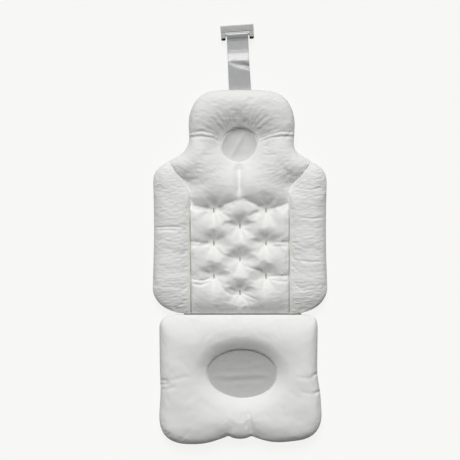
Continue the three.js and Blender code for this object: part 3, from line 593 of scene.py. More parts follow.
def knit_group():
    """Fine loops of a knitted cloth, with a few uneven ones."""
    group, given, made = new_group(
        "Knit", [("Vector", "NodeSocketVector"), ("Loops", "NodeSocketFloat")],
        [("Height", "NodeSocketFloat"), ("Tone", "NodeSocketFloat")])
    cells = node(group, "ShaderNodeTexVoronoi", feature="F1")
    fuzz = node(group, "ShaderNodeTexNoise", Detail=4.0, Roughness=0.6)
    cloud = node(group, "ShaderNodeTexNoise", Scale=38.0, Detail=3.0)
    for texture in (cells, fuzz, cloud):
        link(group, (given.outputs["Vector"], texture.inputs["Vector"]))
    double = math_node(group, "MULTIPLY", given.outputs["Loops"], 1.7)
    link(group, (given.outputs["Loops"], cells.inputs["Scale"]), (double, fuzz.inputs["Scale"]))
    height = math_node(group, "ADD", cells.outputs["Distance"], fuzz.outputs[0])
    blend = math_node(group, "MULTIPLY", cloud.outputs[0], 0.7)
    tone = math_node(group, "ADD", blend, math_node(group, "MULTIPLY", height, 0.3))
    link(group, (height, made.inputs["Height"]), (tone, made.inputs["Tone"]))
    return group


def ribs_group():
    """Ribs across a band and fine threads along it."""
    group, given, made = new_group(
        "Ribs", [("Vector", "NodeSocketVector"), ("Ribs", "NodeSocketFloat"),
                 ("Threads", "NodeSocketFloat")],
        [("Height", "NodeSocketFloat"), ("Tone", "NodeSocketFloat")])
    bend = node(group, "ShaderNodeTexNoise", Scale=220.0, Detail=2.0)
    across = node(group, "ShaderNodeTexWave", bands_direction="Y", Distortion=0.5)
    along = node(group, "ShaderNodeTexWave", bands_direction="X", Distortion=0.3)
    for texture in (bend, across, along):
        link(group, (given.outputs["Vector"], texture.inputs["Vector"]))
    link(group, (given.outputs["Ribs"], across.inputs["Scale"]),
         (given.outputs["Threads"], along.inputs["Scale"]))
    woven = math_node(group, "MULTIPLY", across.outputs["Fac"], 0.6)
    woven = math_node(group, "ADD", woven, math_node(group, "MULTIPLY", along.outputs["Fac"], 0.4))
    tone = math_node(group, "MULTIPLY", woven, 0.5)
    tone = math_node(group, "ADD", tone, math_node(group, "MULTIPLY", bend.outputs[0], 0.5))
    link(group, (woven, made.inputs["Height"]), (tone, made.inputs["Tone"]))
    return group


knit = knit_group()
ribs = ribs_group()
print("node groups:", len(bpy.data.node_groups))

# %% [markdown]
# A finish is a Principled shader whose colour and roughness move a little with the pattern,
# and whose bump is the pattern's height. Light cloth also has a soft sheen, set as a plain
# number, so that it survives the export.

# %% Materials
def finish(name, group, values, dark, light, rough, relief, sheen=0.0, specular=0.3, own_map=False):
    material = bpy.data.materials.new(name)
    material.use_nodes = True
    tree = material.node_tree
    shader = set_values(tree.nodes["Principled BSDF"], Sheen_Weight=sheen, Sheen_Roughness=0.5,
                        Specular_IOR_Level=specular)
    place = node(tree, "ShaderNodeTexCoord").outputs["UV" if own_map else "Object"]
    pattern = node(tree, "ShaderNodeGroup", node_tree=group, **values)
    colour = node(tree, "ShaderNodeMix", data_type="RGBA", A=(*dark, 1), B=(*light, 1))
    spread = node(tree, "ShaderNodeMapRange", To_Min=rough[0], To_Max=rough[1])
    raised = node(tree, "ShaderNodeBump", Strength=relief[0], Distance=relief[1])
    link(tree, (place, pattern.inputs["Vector"]),
         (pattern.outputs["Tone"], colour.inputs["Factor"]),
         (colour.outputs["Result"], shader.inputs["Base Color"]),
         (pattern.outputs["Tone"], spread.inputs["Value"]),
         (spread.outputs[0], shader.inputs["Roughness"]),
         (pattern.outputs["Height"], raised.inputs["Height"]),
         (raised.outputs[0], shader.inputs["Normal"]))
    return material


cover_cloth = finish("cover_cloth", knit, {"Loops": 620.0}, (0.91, 0.91, 0.885), (0.96, 0.96, 0.935),
                     (0.86, 0.97), (0.35, 0.0004), sheen=0.04, specular=0.12)
# The head hollow's cloth is greyer than the cover: this is painted shade of the hollow.
recess_cloth = finish("recess_cloth", knit, {"Loops": 420.0}, (0.7, 0.7, 0.69),
                      (0.76, 0.76, 0.75), (0.6, 0.75), (0.45, 0.0005), specular=0.2)
# The seat hollow's cloth is much darker than the cover: this is painted shade of the deep hollow.
seat_cloth_painted_shade = finish("seat_hollow_cloth", knit, {"Loops": 420.0}, (0.49, 0.495, 0.475),
                    (0.55, 0.555, 0.535), (0.6, 0.75), (0.45, 0.0005), specular=0.2)
# The fold strip's grey is painted shade: the dark crevice between the pads.
fold_cloth_painted_shade = finish("fold_cloth_painted_shade", knit, {"Loops": 620.0}, (0.42, 0.42, 0.4), (0.5, 0.5, 0.48),
                    (0.86, 0.97), (0.35, 0.0004), specular=0.12)
seam_tape = finish("seam_tape", ribs, {"Ribs": 180.0, "Threads": 400.0}, (0.44, 0.42, 0.37),
                   (0.6, 0.575, 0.52), (0.75, 0.9), (0.6, 0.0005), own_map=True)
tuft_thread = finish("tuft_thread", ribs, {"Ribs": 300.0, "Threads": 200.0}, (0.3, 0.275, 0.23),
                     (0.48, 0.45, 0.4), (0.6, 0.8), (0.8, 0.0006), own_map=True)
strap_thread = finish("strap_thread", ribs, {"Ribs": 300.0, "Threads": 200.0}, (0.4, 0.4, 0.4),
                      (0.56, 0.56, 0.56), (0.5, 0.7), (0.8, 0.0004), own_map=True)
webbing = finish("webbing", ribs, {"Ribs": 150.0, "Threads": 260.0}, (0.47, 0.475, 0.475),
                 (0.63, 0.635, 0.635), (0.27, 0.36), (0.45, 0.0003), specular=1.0, own_map=True)
hook_plastic = finish("hook_plastic", knit, {"Loops": 1600.0}, (0.55, 0.555, 0.55),
                      (0.61, 0.615, 0.61), (0.38, 0.5), (0.12, 0.0002), specular=0.5)
# Plain black tips at the ends of the hook's legs.
tip_rubber = finish("tip_rubber", knit, {"Loops": 1100.0}, (0.06, 0.06, 0.058),
                    (0.1, 0.1, 0.097), (0.7, 0.85), (0.2, 0.0003), specular=0.3)
print("materials:", len(bpy.data.materials))

# %% [markdown]
# A pad is closed by copying its grid: one copy is the top, the other the underside, and they
# share the sewn edge. Then the cloth is blown up a little in the cloth solver with its seams
# and tufts held, because stuffed cloth swells between its stitches and creases beside them.
# The move is capped, so the pad keeps its place. Last, the mesh is made finer, a hollow is
# opened where there is one, and the fine creases are pressed in.

# %% Closing and swelling a pad
weld = 0.05
sim_frames = 20
sim_pressure = 3.0
edge_hold = 1.0
side_share = 0.35
rim_snap = 0.9
wall_foot = 6.0


def close_pad(bm, loop, top):
    side = bm.verts.layers.float.new("upper")
    lower = bm.verts[:]
    upper = copy_faces(bm)
    set_heights(lower, underside(loop, *plan(lower), cover_lift))
    set_heights(upper, top(*plan(upper)))
    for vert in upper:
        vert[side] = 1
    bmesh.ops.remove_doubles(bm, verts=bm.verts, dist=weld)
    bmesh.ops.recalc_face_normals(bm, faces=bm.faces)
    bm.normal_update()
    if sum(v.normal.z * (v[side] - half) for v in bm.verts) < 0:
        bmesh.ops.reverse_faces(bm, faces=bm.faces)


def swell(bm, held, slack, most):
    """Lets the free points move in the cloth solver, each by at most this far."""
    mesh = bpy.data.meshes.new("trial")
    bm.to_mesh(mesh)
    mesh.transform(((mm, 0, 0, 0), (0, mm, 0, 0), (0, 0, mm, 0), (0, 0, 0, 1)))
    trial = bpy.data.objects.new("trial", mesh)
    scene.collection.objects.link(trial)
    group = trial.vertex_groups.new(name="held")
    group.add([int(i) for i in np.flatnonzero(held)], 1.0, "REPLACE")
    cloth = trial.modifiers.new("cloth", "CLOTH")
    cloth.settings.quality = 5
    cloth.settings.mass = 0.2
    cloth.settings.bending_stiffness = 0.05
    cloth.settings.vertex_group_mass = "held"
    cloth.settings.use_pressure = True
    cloth.settings.uniform_pressure_force = sim_pressure
    cloth.settings.shrink_min = -slack
    cloth.settings.effector_weights.gravity = 0
    cloth.collision_settings.use_collision = False
    cloth.point_cache.frame_end = sim_frames
    for step in range(1, sim_frames + 1):
        scene.frame_set(step)
    solved = trial.evaluated_get(bpy.context.evaluated_depsgraph_get())
    moved = np.array([v.co for v in solved.data.vertices]) / mm
    scene.frame_set(1)
    bpy.data.objects.remove(trial)
    start = np.array([v.co for v in bm.verts])
    step = moved - start
    length = np.linalg.norm(step, axis=1, keepdims=True)
    step *= most * np.tanh(length / most) / np.maximum(length, 1e-9)
    for vert, place in zip(bm.verts, start + step):
        vert.co = place
    print("swelled by at most", round(float(np.linalg.norm(step, axis=1).max()), 1), "mm")


def on_top(bm):
    side = bm.verts.layers.float["upper"]
    return np.array([v[side] for v in bm.verts])


def sharpen(bm, detail):
    """Presses fine creases into the upper side."""
    share = on_top(bm)
    verts = [v for v, is_up in zip(bm.verts, share) if is_up > 0]
    depth = detail(*plan(verts)) * share[share > 0]
    bm.normal_update()
    for vert, down in zip(verts, depth):
        lean = vert.normal * side_share + Vector((0, 0, 1 - side_share))
        vert.co -= lean * down


def open_hollow(bm, middle, axes, top):
    """Cuts the top away inside the hollow, sets the rim on its line and gives it a wall."""
    middle, axes = Vector((*middle, 0)), Vector((*axes, 1))
    side = bm.verts.layers.float["upper"]

    def outside(vert):
        place = vert.co - middle
        reach = math.hypot(place.x / axes.x, place.y / axes.y)
        return (reach - 1) * math.hypot(place.x, place.y) / max(reach, 1e-6), reach

    rims = {v: outside(v) for v in bm.verts if v[side] == 1 and outside(v)[0] < rim_snap}
    inner = {f for v in rims for f in v.link_faces if all(w in rims for w in f.verts)}
    bmesh.ops.delete(bm, geom=list(inner), context="FACES")
    rim = [e for e in bm.edges if e.is_boundary]
    for vert in {v for e in rim for v in e.verts}:
        reach = rims[vert][1]
        vert.co.x = middle.x + (vert.co.x - middle.x) / reach
        vert.co.y = middle.y + (vert.co.y - middle.y) / reach
    near = [v for v in bm.verts if v[side] == 1 and outside(v)[0] < lip_run + 1]
    set_heights(near, top(*plan(near)))
    made = bmesh.ops.extrude_edge_only(bm, edges=rim)
    foot = [e for e in made["geom"] if isinstance(e, bmesh.types.BMVert)]
    for vert in foot:
        vert.co.z = wall_foot
        vert[side] = 0
    edges = [e for e in made["geom"] if isinstance(e, bmesh.types.BMEdge)]
    bmesh.ops.holes_fill(bm, edges=edges, sides=0)
    bmesh.ops.recalc_face_normals(bm, faces=bm.faces)


def make_pad(name, bm, loop, top, detail, holds, slack, most, hollow, body, replaced):
    """holds: says which places stay still. hollow: its middle and half axes, or None."""
    close_pad(bm, loop, top)
    x, y = plan(bm.verts)
    held = (on_top(bm) == 0) | holds(x, y) | (nearest(loop, x, y)[0] < edge_hold)
    swell(bm, held, slack, most)
    bmesh.ops.subdivide_edges(bm, edges=bm.edges[:], cuts=1, use_grid_fill=True, smooth=0.6)
    if hollow:
        open_hollow(bm, *hollow, top)
    sharpen(bm, detail)
    to_metres(bm)
    pad = add_piece(name, bm, cover_cloth, body, replaced)


print("cloth solver:", f"{sim_frames} steps")

# %% [markdown]
# The centre panel carries the head hollow, two big lobes below it and the quilting. Its
# sides follow the panel seams up to the shoulders, then the neck and the head. The creases
# are laid where the photograph shows them: doubled at the neck, one deep one between the
# lobes, and slack lines from tuft to tuft.

# %% Back rest, centre panel
seam_half_gap = 0.7
seam_closed = 0.1
seam_hold = 2.0
tuft_hold = 6.5
head_corner = (78.0, 383.6)
crown_half = stretch_between(back_outline, head_corner, back_outline[-1])
crown_side = np.concatenate([mirrored(crown_half), crown_half[::-1][1:]])

seam_gaps = seam_closed + (seam_half_gap - seam_closed) * smoothstep(246, 222, panel_seam[:, 1:])
centre_seam = panel_seam - seam_gaps * (1, 0)
head_side = stretch_between(back_outline, fork_end, head_corner)
centre_right = np.concatenate([centre_seam, head_side[1:]])
centre_bottom = np.array([mirrored(centre_seam)[0], centre_seam[0]])

neck_creases = [
    (1.4, 1.8, [(-104, 322), (-89, 322.5), (-71.4, 325.6), (-54.8, 322.2), (-40.4, 314.9),
                (-26, 304)]),
    (1.6, 1.8, [(-104, 314), (-71.4, 315.5), (-52.7, 314.5), (-38, 309), (-26, 299)]),
    (-1.6, 2.2, [(-104, 318.5), (-71.4, 320.8), (-54, 318.6), (-40, 312), (-28, 302)]),
    (1.4, 1.8, [(24, 305), (32.9, 311.9), (46.3, 317.9), (67.1, 324.1), (104, 324.1)]),
    (1.6, 1.8, [(24, 300), (38, 309.7), (54.6, 314.4), (75.3, 316.2), (104, 315.5)]),
    (-1.6, 2.2, [(26, 304), (36, 311), (50, 316.4), (68, 320.2), (104, 320)]),
]
lobe_creases = [
    (2.6, 3.0, [(-2.1, 278), (-2.1, 262), (-1.4, 230), (-1.6, 205)]),
    (6.0, 8.0, [(-1.8, 272), (-1.6, 232), (-1.4, 204)]),
    (1.2, 4.0, [(-62, 178), (-40, 190), (-26, 197), (-10, 202.5), (0, 203.5), (10, 202.5),
                (26, 197), (40, 190), (62, 178)]),
    (2.6, 2.0, [(-92, 195), (-70, 190), (-50, 188)]),
    (2.2, 1.8, [(-92, 189), (-70, 185.5), (-50, 185)]),
    (2.4, 2.0, [(50, 187), (66, 190), (78, 194), (92, 199)]),
    (2.6, 1.9, [(-46, 186), (-34, 190), (-22, 196), (-8, 201.5)]),
    (2.2, 1.7, [(-44, 181), (-32, 185.5), (-20, 191.5), (-8, 197)]),
    (2.6, 1.9, [(6, 203), (16, 200.5), (28, 194.5), (40, 188)]),
]
tuft_creases = [
    (2.4, 1.9, [(-92, 130.5), (-70, 127), (-50, 126)]),
    (2.0, 1.8, [(-92, 122), (-70, 122), (-50, 125)]),
    (2.4, 1.9, [(50, 127), (70, 128), (92, 129)]),
    (2.0, 1.8, [(50, 122), (70, 121), (92, 121)]),
    (2.0, 2.4, [(-44.5, 121), (-32, 106), (-15.5, 101), (-3, 100)]),
    (2.0, 2.4, [(4.8, 90), (19.6, 81.5), (36, 77.4), (46, 70)]),
    (2.6, 2.0, [(-92, 63), (-70, 60), (-48, 64)]),
    (2.6, 2.0, [(-92, 56), (-70, 52), (-50, 58)]),
    (2.2, 1.8, [(50, 66), (70, 68), (92, 69)]),
    (2.2, 1.8, [(50, 62), (70, 59), (92, 57)]),
    (2.4, 2.6, [(-36, 50.6), (-26, 42), (-16, 34.4), (-4, 36)]),
    (1.4, 1.8, [(2, 34), (12, 22), (18, 10)]),
    (1.4, 1.8, [(4, 38), (20, 30), (34, 24)]),
    (1.2, 1.8, [(-2, 34), (-8, 22), (-10, 10)]),
    (2.0, 2.6, [(-15, 170), (-28, 178), (-40, 184)]),
    (2.4, 2.8, [(12, 172), (24, 179), (38, 183)]),
]


def centre_detail(x, y):
    depth = creased(x, y, neck_creases + lobe_creases + tuft_creases)
    for i, (tx, ty) in enumerate(tufts):
        depth += 2.2 * bump(x - tx, 1.7) * bump(y - ty - 1, 8)
        turn = np.arctan2(y - ty, x - tx)
        away = np.hypot(x - tx, y - ty)
        pull = np.sin(9 * turn + 2.1 * i) + 0.6 * np.sin(14 * turn + i)
        below = 0.2 + 0.8 * smoothstep(2, -8, y - ty)
        depth += 0.36 * below * pull * smoothstep(3, 9, away) * bump(away, 19)
    hollow = np.hypot(x - head_hollow[0], y - head_hollow[1])
    turn = np.arctan2(y - head_hollow[1], x - head_hollow[0])
    fan = np.sin(44 * turn + 0.05 * hollow) + 0.7 * np.sin(31 * turn + 1)
    upper = smoothstep(0.1, 0.5, np.sin(turn)) * smoothstep(0.12, 0.45, np.abs(np.cos(turn)))
    depth += 0.34 * fan * upper * smoothstep(36, 46, hollow) * smoothstep(84, 62, hollow)
    away, _ = nearest(back_loop, x, y)
    inner = smoothstep(0, 10, away) * smoothstep(31, 40, hollow)
    depth *= smoothstep(30, 36, hollow)
    depth += inner * (1.1 * ripples(x, y, 42, 26, 3) + 0.5 * ripples(x, y, 13, 9, 7))
    depth += inner * 0.35 * ripples(x, y, 8, 4, 11)
    slack = smoothstep(18, 45, np.abs(x)) * smoothstep(180, 200, y) * smoothstep(290, 262, y)
    depth += inner * (0.3 + 0.5 * slack) * ripples(x, y - 0.25 * np.abs(x), 13, 3.2, 17)
    return depth


def centre_holds(x, y):
    held = np.hypot(x - head_hollow[0], y - head_hollow[1]) < head_hollow_radius + head_calm
    held |= nearest(panel_seam, np.abs(x), y)[0] < seam_hold
    for tx, ty in tufts:
        held |= np.hypot(x - tx, y - ty) < tuft_hold
    return held


make_pad("back_centre_pad",
         panel(64, 128, centre_bottom, centre_right, crown_side, mirrored(centre_right)),
         back_loop, centre_top, centre_detail, centre_holds, 0.008, 3.0,
         (head_hollow, (head_hollow_radius, head_hollow_radius)), "back_rest",
         ("back_centre_cover", "centre_fill"))

# %% [markdown]
# Each bolster is a long stuffed tube down the side. Its cloth is cut too long for it, so it
# lies in short level crumples all the way down. Noise that is stretched along the crumples
# gives them. A doubled fold on the left and two single ones on the right are laid as listed.

# %% Bolsters
low_corner = (136.5, 16.7)
high_corner = (148.5, 262.0)
bolster_seam = panel_seam + seam_gaps * (1, -0.4)
bolster_bottom = stretch_between(back_outline, bolster_seam[0], low_corner)
bolster_side = stretch_between(back_outline, low_corner, high_corner)
bolster_top = stretch_between(back_outline, high_corner, fork_end)[::-1]
bolster_top[0] = bolster_seam[-1]

left_folds = [
    (2.6, 2.0, [(-158, 153.8), (-130, 155), (-98, 154.9)]),
    (2.2, 1.8, [(-158, 149.2), (-130, 149.6), (-104, 150)]),
]
right_folds = [
    (1.6, 2.0, [(104, 172), (130, 170), (156, 173)]),
    (1.6, 2.0, [(104, 96), (126, 93), (156, 95)]),
]


def bolster_detail(x, y, folds, seed):
    away, _ = nearest(back_loop, x, y)
    seam, _ = nearest(panel_seam, np.abs(x), y)
    inner = smoothstep(0, 8, away) * smoothstep(0, 9, seam)
    tilt = y - 0.1 * x
    crumple = 0.8 * ripples(x, tilt, 12, 3.3, seed) + 0.45 * ripples(x, tilt, 7, 2.2, seed + 5)
    broad = 1.6 * ripples(x, y, 60, 24, seed + 9)
    return inner * (crumple + broad) + creased(x, y, folds)


def bolster(side, folds, seed):
    bm = panel(24, 112, bolster_bottom, bolster_side, bolster_top, bolster_seam)
    if side < 0:
        bmesh.ops.scale(bm, verts=bm.verts, vec=(-1, 1, 1))
    word = "left" if side < 0 else "right"

    def detail(x, y):
        return bolster_detail(x, y, folds, seed)

    def holds(x, y):
        return nearest(panel_seam, np.abs(x), y)[0] < seam_hold

    make_pad(f"{word}_bolster_pad", bm, back_loop, bolster_top_at, detail, holds, 0.01, 2.5,
             None, "back_rest", (f"{word}_bolster_cover", f"{word}_bolster_fill"))


bolster(-1, left_folds, 21)
bolster(1, right_folds, 47)

# %% [markdown]
# The seat pad is plain on top, stuffed more fully, and pleated a little where its oval
# hollow and its lobes make the cloth turn. The notch between the two lower lobes, and the
# small tongue in it, are part of its outline.

# %% Seat pad
seat_crown = 27.5
seat_slope = (1.0, 22.0, 8.0, 4.5)
seat_dome = 4.5
seat_middle = -115
seat_calm = 26.0
seat_hollow = (5.6, -106.4)
seat_hollow_axes = (60.6, 41.9)
seat_low_corner = (134.6, -220.3)
seat_high_corner = (135.2, -7.9)
seat_bottom_half = stretch_between(seat_outline, seat_outline[0], seat_low_corner)
seat_bottom = np.concatenate([mirrored(seat_bottom_half)[::-1], seat_bottom_half[1:]])
seat_side = stretch_between(seat_outline, seat_low_corner, seat_high_corner)
seat_top_half = stretch_between(seat_outline, seat_high_corner, (0, -fold_gap))
seat_top_side = np.concatenate([mirrored(seat_top_half), seat_top_half[::-1][1:]])

seat_creases = [
    (3.6, 1.9, [(-170, -112), (-146, -117), (-122, -118)]),
    (3.2, 1.8, [(-170, -126), (-146, -126), (-120, -122)]),
    (1.0, 3.0, [(-128, -118), (-108, -113.5), (-86, -108)]),
    (1.1, 2.8, [(-150, -135), (-128, -132), (-110, -127)]),
    (4.2, 2.0, [(166, -84), (147, -102), (126, -111)]),
    (1.0, 2.8, [(139, -111), (120, -113), (100, -110)]),
    (4.2, 2.0, [(168, -119), (148, -135), (126, -141)]),
    (1.1, 2.8, [(139, -141), (121, -140), (102, -135)]),
    (3.2, 2.4, [(21.5, -218), (20, -200), (15.5, -179), (14, -168)]),
    (1.5, 2.2, [(11, -204), (9, -188), (5.3, -172)]),
]


def seat_away(x, y):
    """Distance from the rim of the oval hollow, negative inside it."""
    across, down = x - seat_hollow[0], y - seat_hollow[1]
    reach = np.hypot(across / seat_hollow_axes[0], down / seat_hollow_axes[1])
    return (reach - 1) * np.hypot(across, down) / np.maximum(reach, 1e-6)


def seat_top(x, y):
    away, _ = nearest(seat_loop, x, y)
    crown = seat_crown - seat_dome * ((y - seat_middle) / seat_middle) ** 2
    rise = lesser(crown * edge_share(away, edge_run), hinge_rise(-fold_gap - y, seat_crown))
    return beside_hollow(seat_away(x, y), seam_level + rise, seat_slope)


def seat_detail(x, y):
    away, _ = nearest(seat_loop, x, y)
    inner = smoothstep(0, 10, away) * smoothstep(0, 9, seat_away(x, y))
    depth = creased(x, y, seat_creases) * smoothstep(0, 8, seat_away(x, y))
    broad = smoothstep(12, 50, seat_away(x, y))
    depth += inner * (1.5 * broad * ripples(x, y, 50, 34, 61) + 0.35 * ripples(x, y, 15, 11, 67))
    return depth


def seat_holds(x, y):
    return seat_away(x, y) < seat_calm


make_pad("seat_pad", panel(76, 62, seat_bottom, seat_side, seat_top_side, mirrored(seat_side)),
         seat_loop, seat_top, seat_detail, seat_holds, 0.0025, 2.5,
         (seat_hollow, seat_hollow_axes), "seat", ("seat_cover", "seat_fill"))

# %% [markdown]
# Both pads lie on a plain underside cloth, cut a little larger and turned up to the sewn
# edge. The tufts' thread pulls shallow dips into it. Each is one grid, and a copy of it lies
# a little higher and further in, which gives the cloth its thickness.

# %% Undersides
backing_thickness = 1.2
backing_reach = 150
dip_depth = 1.6
dip_run = 9.0
low_half = stretch_between(back_outline, (0, fold_gap), low_corner)
back_low_side = np.concatenate([mirrored(low_half)[::-1], low_half[1:]])
back_side = stretch_between(back_outline, low_corner, head_corner)


def backing(name, bm, loop, dips, body, replaced):
    verts = bm.verts[:]
    x, y = plan(verts)
    heights = underside(loop, x, y)
    level = smoothstep(8, 20, nearest(loop, x, y)[0])
    heights += level * 0.35 * (1 + ripples(x, y, 34, 28, 5))
    for dx, dy in dips:
        heights += dip_depth * bump(np.hypot(x - dx, y - dy), dip_run)
    set_heights(verts, heights)
    inset = 1 - backing_thickness / backing_reach
    for vert in copy_faces(bm):
        vert.co.z += backing_thickness * half
        vert.co.x *= inset
    bmesh.ops.recalc_face_normals(bm, faces=bm.faces)
    to_metres(bm)
    piece = add_piece(name, bm, cover_cloth, body, (replaced,))


backing("back_underside", panel(90, 130, back_low_side, back_side, crown_side, mirrored(back_side)),
        back_loop, tufts, "back_rest", "back_rest_backing")
backing("seat_underside", panel(90, 76, seat_bottom, seat_side, seat_top_side, mirrored(seat_side)),
        seat_loop, [], "seat", "seat_backing")

# %% [markdown]
# The bottom of each hollow is a separate flat cloth with its edge sewn under the cover. It
# is a little loose: the round one has a slanting wrinkle, the oval one a fold across it.

# %% Cloths in the hollows
tuck = 2.4
recess_level = 11.5
recess_thickness = 1.2
quarter = np.linspace(-np.pi / 4, np.pi / 4, 60)


def oval_sides(middle, axes):
    sides = []
    for turn in (-np.pi / 2, 0, np.pi / 2, np.pi):
        angle = quarter + turn
        line = np.stack([middle[0] + axes[0] * np.cos(angle),
                         middle[1] + axes[1] * np.sin(angle)], -1)
        sides.append(line if turn in (-np.pi / 2, 0) else line[::-1])
    return sides


def recess(name, material, middle, axes, dish, folds, body, replaced):
    wide = (axes[0] + tuck, axes[1] + tuck)
    bm = panel(72, 72, *oval_sides(middle, wide), gather=(0.3, 0.3))
    upper = bm.verts[:]
    x, y = plan(upper)
    reach = np.hypot((x - middle[0]) / axes[0], (y - middle[1]) / axes[1])
    rise, power = dish
    heights = recess_level + rise * np.minimum(reach, 1) ** power
    heights += smoothstep(1, 0.5, reach) * 0.6 * ripples(x, y, 18, 12, 31)
    heights -= creased(x, y, folds) + 1.4 * smoothstep(1.0, 1.05, reach)
    set_heights(upper, heights)
    bmesh.ops.translate(bm, verts=copy_faces(bm), vec=(0, 0, -recess_thickness))
    bmesh.ops.recalc_face_normals(bm, faces=bm.faces)
    to_metres(bm)
    add_piece(name, bm, material, body, (replaced,))


head_wrinkles = [
    (-1.5, 4.2, [(8, 329), (4, 321), (-5, 302), (-14, 282), (-17, 276)]),
]
seat_folds = [
    (-0.7, 4.5, [(-58, -112), (-36, -110.7), (10, -111), (54.6, -109), (64, -107)]),
    (0.8, 5.0, [(-50, -121), (0, -119.6), (56, -117)]),
]
# The darker colours of both hollow cloths are painted shade of the hollows.
recess("head_hollow_cloth", recess_cloth, head_hollow, (head_hollow_radius, head_hollow_radius),
       (6.2, 3.5), head_wrinkles, "back_rest", "head_recess_panel")
# The oval cloth's dark grey is painted shade of the seat hollow.
recess("seat_hollow_cloth", seat_cloth_painted_shade, seat_hollow, seat_hollow_axes, (5.5, 2.5), seat_folds,
       "seat", "seat_recess_panel")

# %% [markdown]
# Tape, thread and webbing are all long bands with a round or a flattened section. One grid
# is rolled into each: its columns go round the section and its rows along the way. The
# band keeps a map of its own, in metres across and along, for the weave to follow.

# %% Rolled bands
def band(path, side, half_width, half_height, power, around, profile=None):
    """path: places in mm. side: the direction across the band. power: 1 round, above 1 flat."""
    path = np.array(path, float)
    steps = len(path) - 1
    way = np.concatenate([[0], np.cumsum(np.linalg.norm(np.diff(path, axis=0), axis=1))])
    ahead = np.gradient(path, axis=0)
    ahead /= np.linalg.norm(ahead, axis=1, keepdims=True)
    side = np.broadcast_to(np.array(side, float), path.shape)
    side = side - (side * ahead).sum(1, keepdims=True) * ahead
    side = side / np.linalg.norm(side, axis=1, keepdims=True)
    up = np.cross(side, ahead)
    bm = bmesh.new()
    bmesh.ops.create_grid(bm, x_segments=around, y_segments=steps, size=half)
    own_map = bm.loops.layers.uv.new("along")
    places = {}
    for vert in bm.verts:
        turn = (vert.co.x + half) * 2 * math.pi
        row = round((vert.co.y + half) * steps)
        bulge = profile(way[row] / way[-1]) if profile else 1
        c, s = math.cos(turn), math.sin(turn)
        across = math.copysign(abs(c) ** (1 / power), c) * half_width * bulge
        lift = math.copysign(abs(s) ** (1 / power), s) * half_height * bulge
        places[vert] = (path[row] + side[row] * across + up[row] * lift, (across, way[row]))
    for face in bm.faces:
        for loop in face.loops:
            across, along = places[loop.vert][1]
            loop[own_map].uv = (across * mm, along * mm)
    for vert, (place, _) in places.items():
        vert.co = place
    bmesh.ops.remove_doubles(bm, verts=bm.verts, dist=weld / 5)
    bmesh.ops.holes_fill(bm, edges=[e for e in bm.edges if e.is_boundary], sides=0)
    bmesh.ops.recalc_face_normals(bm, faces=bm.faces)
    return bm


def join(bm, part):
    trial = bpy.data.meshes.new("part")
    part.to_mesh(trial)
    part.free()
    bm.from_mesh(trial)
    bpy.data.meshes.remove(trial)


# %% [markdown]
# A tan tape is caught in each panel seam and shows as a thin line at the bottom of the
# valley. It follows the cover's own height there, so it sits on the cloth all along.

# %% Seam tapes
tape_radius = 1.05
tape_end_sink = 2.6


def tape(side):
    share = np.linspace(0.012, 0.975, 150)
    line = at_share(panel_seam, share)
    x, y = line[:, 0] * side, line[:, 1]
    z = centre_top(x, y) + 0.6 - tape_end_sink * smoothstep(0.72, 0.82, share)
    word = "left" if side < 0 else "right"
    path = np.stack([x, y, z], -1)
    bm = band(path, (1, 0.001, 0), tape_radius, tape_radius, 1, 10)
    to_metres(bm)
    add_piece(f"{word}_seam_tape", bm, seam_tape, "back_rest",
              (f"{word}_panel_seam",))


tape(-1)
tape(1)

# %% [markdown]
# Each tuft is a short bar tack, wound over many times with thick thread, so it is fat in the
# middle and has a stem that goes down to the backing.

# %% Tufts
bar_half = 5.8
bar_radii = (1.0, 0.9)
stem_radius = 0.9
foot_radii = (1.0, 0.6)


def swollen(share):
    return 0.55 + 0.45 * math.sin(math.pi * min(max(share, 0.02), 0.98)) ** 0.5


def tuft(name, x, y):
    level = centre_top(np.array([x]), np.array([y]))[0] - 1.2
    ys = np.linspace(-bar_half, bar_half, 22)
    path = [(x + 0.12 * math.sin(t * 2.4), y + t, level + 0.5 - 0.05 * abs(t)) for t in ys]
    bm = band(path, (1, 0, 0), *bar_radii, 1, 12, swollen)
    stem = band([(x, y, t) for t in np.linspace(0.8, level, 8)], (1, 0, 0), stem_radius,
                stem_radius, 1, 8)
    foot = band([(x, y + t, 0.9) for t in ys], (1, 0, 0), *foot_radii, 1, 10, swollen)
    for part in (stem, foot):
        join(bm, part)
    to_metres(bm)
    add_piece(f"{name}_thread", bm, tuft_thread, "back_rest", (name,))


for name, (x, y) in zip(tuft_names, tufts):
    tuft(name, x, y)

# %% [markdown]
# Between the pads runs the sewn fold: a narrow rolled strip that both pads are stitched to.
# It crosses the joint, so its points turn smoothly from one pad to the other.

# %% Fold strip
strip_ends = (-101.0, 110.0)
strip_steps = 120
strip_sink = 3.6
strip_radii = (3.0, 1.0)
strip_bend = 1.2


def fold_strip():
    xs = np.linspace(*strip_ends, strip_steps)
    path = [(x, 0, seam_level - strip_sink + 0.12 * math.sin(x * 0.9)) for x in xs]
    bm = band(path, (0, 1, 0), *strip_radii, 1, 14)
    to_metres(bm)
    # Its grey cloth is painted shade for the crevice between the pads.
    strip = add_piece("fold_strip", bm, fold_cloth_painted_shade, None, ("hinge_strip",))
    ends = [Vector((0, -fold_line + reach, seam_level)) * mm for reach in (strip_bend, -strip_bend)]
    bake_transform(strip, "back_rest", "seat", *ends)


fold_strip()

# %% [markdown]
# The strap is one length of webbing: sewn into the head's edge, kinked and dented where it
# has been folded in the packet, then over the hook's bar and back below as a short tail. Its
# root bends with the strap's joint.

# %% Strap
strap_root = np.array([-0.9, 403.6])
strap_end = np.array([-4.558, 498.83])
bar_level = 17.0
loop_radius = 3.3
web_half_width = 19.0
web_half_height = 0.8
strap_steps = 260
strap_flatness = 2.6
dent_place = 42.5
dent_slant = 5.5
dent_depth = 3.0
dent_run = 4.2
root_flare = 0.8
root_bend = (-4, 6)
root_turn = math.radians(1.8)


